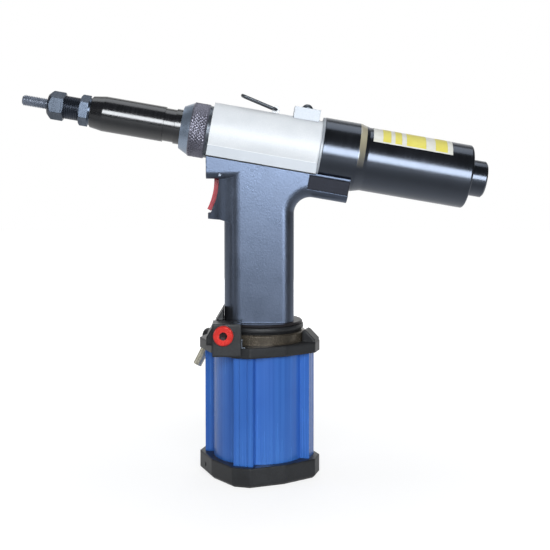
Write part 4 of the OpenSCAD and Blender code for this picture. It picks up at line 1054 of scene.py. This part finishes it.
@dataclass
class PistolGrip(Group):
    """Handle casting, trigger and trigger valve."""

    grip_rear: float = 25.5
    web_r: float = 12.0
    edge_r: float = 9.0
    arm_drop: float = 34.5
    half: float = 21.0
    lift: float = 0.006
    recess_x: float = 34.8
    filler_t: float = 1.0
    filler_reach: float = 0.3
    filler_rise: float = 0.9
    arc_steps: int = 24
    valve_z: float = 206.0
    finishes: dict[str, Finish] = field(default_factory=lambda: {
        "handle": TEXTURED_GRIP,
        "oil_tube": GROUND_STEEL,
        "trigger": RED_TRIGGER,
        "trigger_pin": BRIGHT_PLATE,
        "valve_cartridge": BRONZE,
        "valve_stem": BRIGHT_PLATE,
        "valve_spring": GROUND_STEEL,
    })

    def build(self) -> None:
        """Builds the two flush fillers between grip, rear arm and web, and the valve spring."""
        for side in (-1, 1):
            self.filler("left_web_filler" if side < 0 else "right_web_filler", side)
        spring = Spring(
            name="coiled_valve_spring", node="valve_spring", joint="trigger_pull",
            radius=2.7, wire=0.3, front=-27.2, rear=-21.3, turns=4, travel=3.4,
        )
        spring.build(Matrix.Translation((0, 0, self.valve_z * MM)))

    def filler(self, name: str, side: int) -> Piece:
        """Builds one thin filler, flush with the handle's flat side.

        Args:
            name: Name of the piece.
            side: -1 for the near side, 1 for the far side.

        Returns:
            The filler as an object.
        """
        tilt = math.radians(HEAD.tilt_deg)
        mid_x = self.grip_rear + self.web_r
        mid_z = HEAD.height / MM - mid_x * math.tan(tilt) - (self.arm_drop + self.web_r) / math.cos(tilt)
        web_edge = self.web_r + self.edge_r
        reach = web_edge + self.filler_reach
        left = mid_x - reach
        end = math.acos((self.recess_x - mid_x) / reach)
        arc = [math.pi + (end - math.pi) * k / self.arc_steps for k in range(self.arc_steps + 1)]
        outline = [(mid_x + reach * math.cos(a), mid_z + reach * math.sin(a)) for a in arc]
        over = mid_z + (web_edge + self.filler_rise) / math.cos(tilt)
        outline += [(x, over + (mid_x - x) * math.tan(tilt)) for x in (self.recess_x, left)]
        shape = bmesh.new()
        inner = side * (self.half - self.filler_t)
        verts = [shape.verts.new((x * MM, inner * MM, z * MM)) for x, z in outline]
        face = shape.faces.new(verts)
        pushed = bmesh.ops.extrude_face_region(shape, geom=[face])
        moved = [v for v in pushed["geom"] if isinstance(v, bmesh.types.BMVert)]
        bmesh.ops.translate(shape, vec=(0, side * (self.filler_t + self.lift) * MM, 0), verts=moved)
        return finish_mesh(name, shape, FILLED_GRIP, "tool_body")


@dataclass
class AirBase(Group):
    """Bottom cap, blue air cylinder, cylinder head and collar."""

    finishes: dict[str, Finish] = field(default_factory=lambda: {
        "bottom_cap": BLACK_CASTING,
        "air_cylinder": BLUE_EXTRUSION,
        "cylinder_head": BLACK_CASTING,
        "tie_bolts": BLACK_OXIDE,
        "cylinder_seals": RUBBER,
        "air_piston": GROUND_STEEL,
        "air_piston_seal": RUBBER,
        "ram": BRIGHT_PLATE,
        "ram_gland": BRONZE,
        "collar_ring": COLLAR_PAINT,
        "collar_lock_ring": BLACK_CASTING,
    })


@dataclass
class ValveSide(Group):
    """Valve block, regulator screw, lock tab and air inlet."""

    finishes: dict[str, Finish] = field(default_factory=lambda: {
        "valve_block": BLACK_CASTING,
        "block_screw": BLACK_OXIDE,
        "regulator_screw": RED_CAP,
        "lock_tab": BRIGHT_PLATE,
        "inlet_elbow": BLACK_CASTING,
        "inlet_nipple": NICKEL_BRASS,
    })


@dataclass
class Studio:
    """White floor and backdrop, soft lights and the camera."""

    lens_mm: float = 68.7
    sensor_mm: float = 36.0
    camera_at: tuple[float, float, float] = (-0.0024, -0.7829, 0.231)
    pitch_deg: float = 3.0
    turn_deg: float = -1.04
    shift_y: float = -0.1
    floor_r: float = 3.0
    floor_sides: int = 96
    ambient: float = 0.12
    room: float = 0.04
    backdrop: float = 1.0
    backdrop_span: tuple[float, float] = (0.5, 0.95)
    daylight: tuple[float, float, float] = (0.93, 0.965, 1.0)
    aim: tuple[float, float, float] = (0.0, 0.0, 0.17)
    clip: tuple[float, float] = (0.01, 20.0)
    paper: str = "#9a9a9a"
    # Reach and level of the dimmed glow round the base: a painted shadow under the tool.
    painted_shadow_r: tuple[float, float] = (0.06, 0.5)
    shade: float = 0.78
    room_floor_y: tuple[float, float] = (-0.25, 0.1)
    far_floor: float = 0.6

    def build(self) -> None:
        """Sets up the floor, the world, the lamps and the camera."""
        self.floor()
        self.world()
        self.lamps()
        self.camera()

    def floor(self) -> None:
        """Lays a pale floor that looks white to the camera, keeps the real shadow round the base, and dims
        its glow there as a painted shadow.
        """
        shape = bmesh.new()
        bmesh.ops.create_circle(shape, cap_ends=True, segments=self.floor_sides, radius=self.floor_r)
        floor = mesh_object("studio_floor", shape)
        material = bpy.data.materials.new("white_paper_floor")
        material.use_nodes = True
        tree = material.node_tree
        tree.nodes.clear()
        place = add_node(tree, "ShaderNodeTexCoord").outputs["Object"]
        away = add_node(tree, "ShaderNodeVectorMath", {0: place}, operation="LENGTH")
        # The glow is dimmed near the base, a painted shadow round the tool.
        fade = add_node(
            tree,
            "ShaderNodeMapRange",
            {
                "Value": away.outputs["Value"],
                "From Min": self.painted_shadow_r[0],
                "From Max": self.painted_shadow_r[1],
                "To Min": self.shade,
                "To Max": 1.0,
            },
            interpolation_type="SMOOTHSTEP",
        )
        depth = add_node(tree, "ShaderNodeSeparateXYZ", {0: place})
        behind = add_node(
            tree,
            "ShaderNodeMapRange",
            {
                "Value": depth.outputs[1],
                "From Min": self.room_floor_y[0],
                "From Max": self.room_floor_y[1],
                "To Min": self.room,
                "To Max": self.far_floor,
            },
            interpolation_type="SMOOTHSTEP",
        )
        path = add_node(tree, "ShaderNodeLightPath")
        lit = add_node(
            tree,
            "ShaderNodeMath",
            {0: behind.outputs[0], 1: path.outputs["Is Camera Ray"]},
            operation="MAXIMUM",
        )
        level = add_node(
            tree, "ShaderNodeMath", {0: fade.outputs[0], 1: lit.outputs[0]}, operation="MULTIPLY"
        )
        strength = add_node(
            tree, "ShaderNodeMath", {0: level.outputs[0], 1: self.seen(tree)}, operation="MULTIPLY"
        )
        glow = add_node(tree, "ShaderNodeEmission", {"Color": (1, 1, 1, 1), "Strength": strength.outputs[0]})
        paper = add_node(tree, "ShaderNodeBsdfDiffuse", {"Color": linear(self.paper)})
        both = add_node(tree, "ShaderNodeAddShader", {0: paper.outputs[0], 1: glow.outputs[0]})
        out = add_node(tree, "ShaderNodeOutputMaterial")
        tree.links.new(both.outputs[0], out.inputs["Surface"])
        floor.data.materials.append(material)

    def seen(self, tree: Tree) -> Socket:
        """Tells the rays that see the background from those that only carry light.

        Args:
            tree: Node tree that gets the nodes.

        Returns:
            A socket that is 1 for camera, glossy and transmission rays.
        """
        path = add_node(tree, "ShaderNodeLightPath")
        result = path.outputs["Is Camera Ray"]
        for kind in ("Is Glossy Ray", "Is Transmission Ray"):
            result = add_node(
                tree, "ShaderNodeMath", {0: result, 1: path.outputs[kind]}, operation="MAXIMUM"
            ).outputs[0]
        return result

    def world(self) -> None:
        """Makes a white backdrop behind the tool, and a dim room round it for gloss to mirror."""
        world = bpy.data.worlds.new("studio_world")
        bpy.context.scene.world = world
        world.use_nodes = True
        tree = world.node_tree
        tree.nodes.clear()
        place = add_node(tree, "ShaderNodeTexCoord").outputs["Generated"]
        way = add_node(tree, "ShaderNodeSeparateXYZ", {0: place})
        room = add_node(
            tree,
            "ShaderNodeMapRange",
            {
                "Value": way.outputs[1],
                "From Min": self.backdrop_span[0],
                "From Max": self.backdrop_span[1],
                "To Min": self.room,
                "To Max": self.backdrop,
            },
            interpolation_type="SMOOTHSTEP",
        )
        path = add_node(tree, "ShaderNodeLightPath")
        mirrored = add_node(
            tree,
            "ShaderNodeMix",
            {"Factor": self.seen(tree), "A": self.ambient, "B": room.outputs[0]},
            data_type="FLOAT",
        )
        strength = add_node(
            tree,
            "ShaderNodeMath",
            {0: mirrored.outputs["Result"], 1: path.outputs["Is Camera Ray"]},
            operation="MAXIMUM",
        )
        glow = add_node(
            tree, "ShaderNodeBackground", {"Color": (1, 1, 1, 1), "Strength": strength.outputs[0]}
        )
        out = add_node(tree, "ShaderNodeOutputWorld")
        tree.links.new(glow.outputs[0], out.inputs["Surface"])

    def lamp(
        self,
        name: str,
        at: tuple[float, float, float],
        size: tuple[float, float],
        watts: float,
        roll_deg: float = 0.0,
        mirrored: bool = True,
    ) -> None:
        """Adds one soft box that faces the middle of the tool.

        Args:
            name: Name of the lamp.
            at: Place of the lamp.
            size: Width and height of the lamp.
            watts: Power of the lamp.
            roll_deg: Turn of the lamp about the line to the tool.
            mirrored: Whether glossy surfaces show the lamp.
        """
        light = bpy.data.lights.new(name, "AREA")
        light.shape = "RECTANGLE"
        light.size, light.size_y = size
        light.energy = watts
        light.color = self.daylight
        obj = bpy.data.objects.new(name, light)
        obj.location = at
        obj.visible_camera = False
        obj.visible_glossy = mirrored
        obj.rotation_mode = "QUATERNION"
        facing = (Vector(self.aim) - Vector(at)).to_track_quat("-Z", "Y")
        obj.rotation_quaternion = facing @ Quaternion((0, 0, 1), math.radians(roll_deg))
        bpy.context.scene.collection.objects.link(obj)

    def lamps(self) -> None:
        """Adds a wide soft box in front, two narrow ones on the nose's side, one overhead and one behind."""
        self.lamp("front_box", (0.12, -1.05, 0.41), (0.96, 0.42), 11.5, -20.0)
        self.lamp("side_box", (-0.95, -0.7, 0.3), (0.25, 0.6), 0.55)
        self.lamp("nose_box", (-1.2, -0.05, 0.48), (0.3, 0.5), 1.0)
        self.lamp("top_box", (0.0, 0.25, 1.3), (1.3, 0.7), 3.5)
        self.lamp("back_box", (0.15, 1.3, 0.3), (0.9, 0.5), 8.0, mirrored=False)

    def camera(self) -> None:
        """Places the camera as the photograph was taken."""
        lens = bpy.data.cameras.new("studio_camera")
        lens.lens = self.lens_mm
        lens.sensor_width = self.sensor_mm
        lens.shift_y = self.shift_y
        lens.clip_start, lens.clip_end = self.clip
        camera = bpy.data.objects.new("studio_camera", lens)
        camera.location = self.camera_at
        camera.rotation_euler = (math.radians(90 - self.pitch_deg), 0.0, math.radians(self.turn_deg))
        bpy.context.scene.collection.objects.link(camera)
        bpy.context.scene.camera = camera


def dress(nodes: dict[str, Piece], finishes: dict[str, Finish]) -> None:
    """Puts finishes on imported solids.

    Args:
        nodes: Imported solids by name.
        finishes: Finish for each of them.
    """
    for name, finish in finishes.items():
        coat(nodes[name], finish)
        LOG.info("dressed %s in %s", name, finish.name)


def main() -> None:
    """Loads the solids, dresses them, adds the fine pieces and sets the stage."""
    logging.basicConfig(level=logging.INFO, format="%(name)s: %(message)s")
    for obj in list(bpy.data.objects):
        bpy.data.objects.remove(obj)
    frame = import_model()
    for part in (AirBase(), ValveSide(), PistolGrip(), PullHead(), Nose(), RearMotor()):
        dress(frame["nodes"], part.finishes)
        part.build()
    Studio().build()
    bpy.context.scene.view_settings.view_transform = "Standard"
    bpy.context.view_layer.update()


if __name__ == "__main__":
    main()
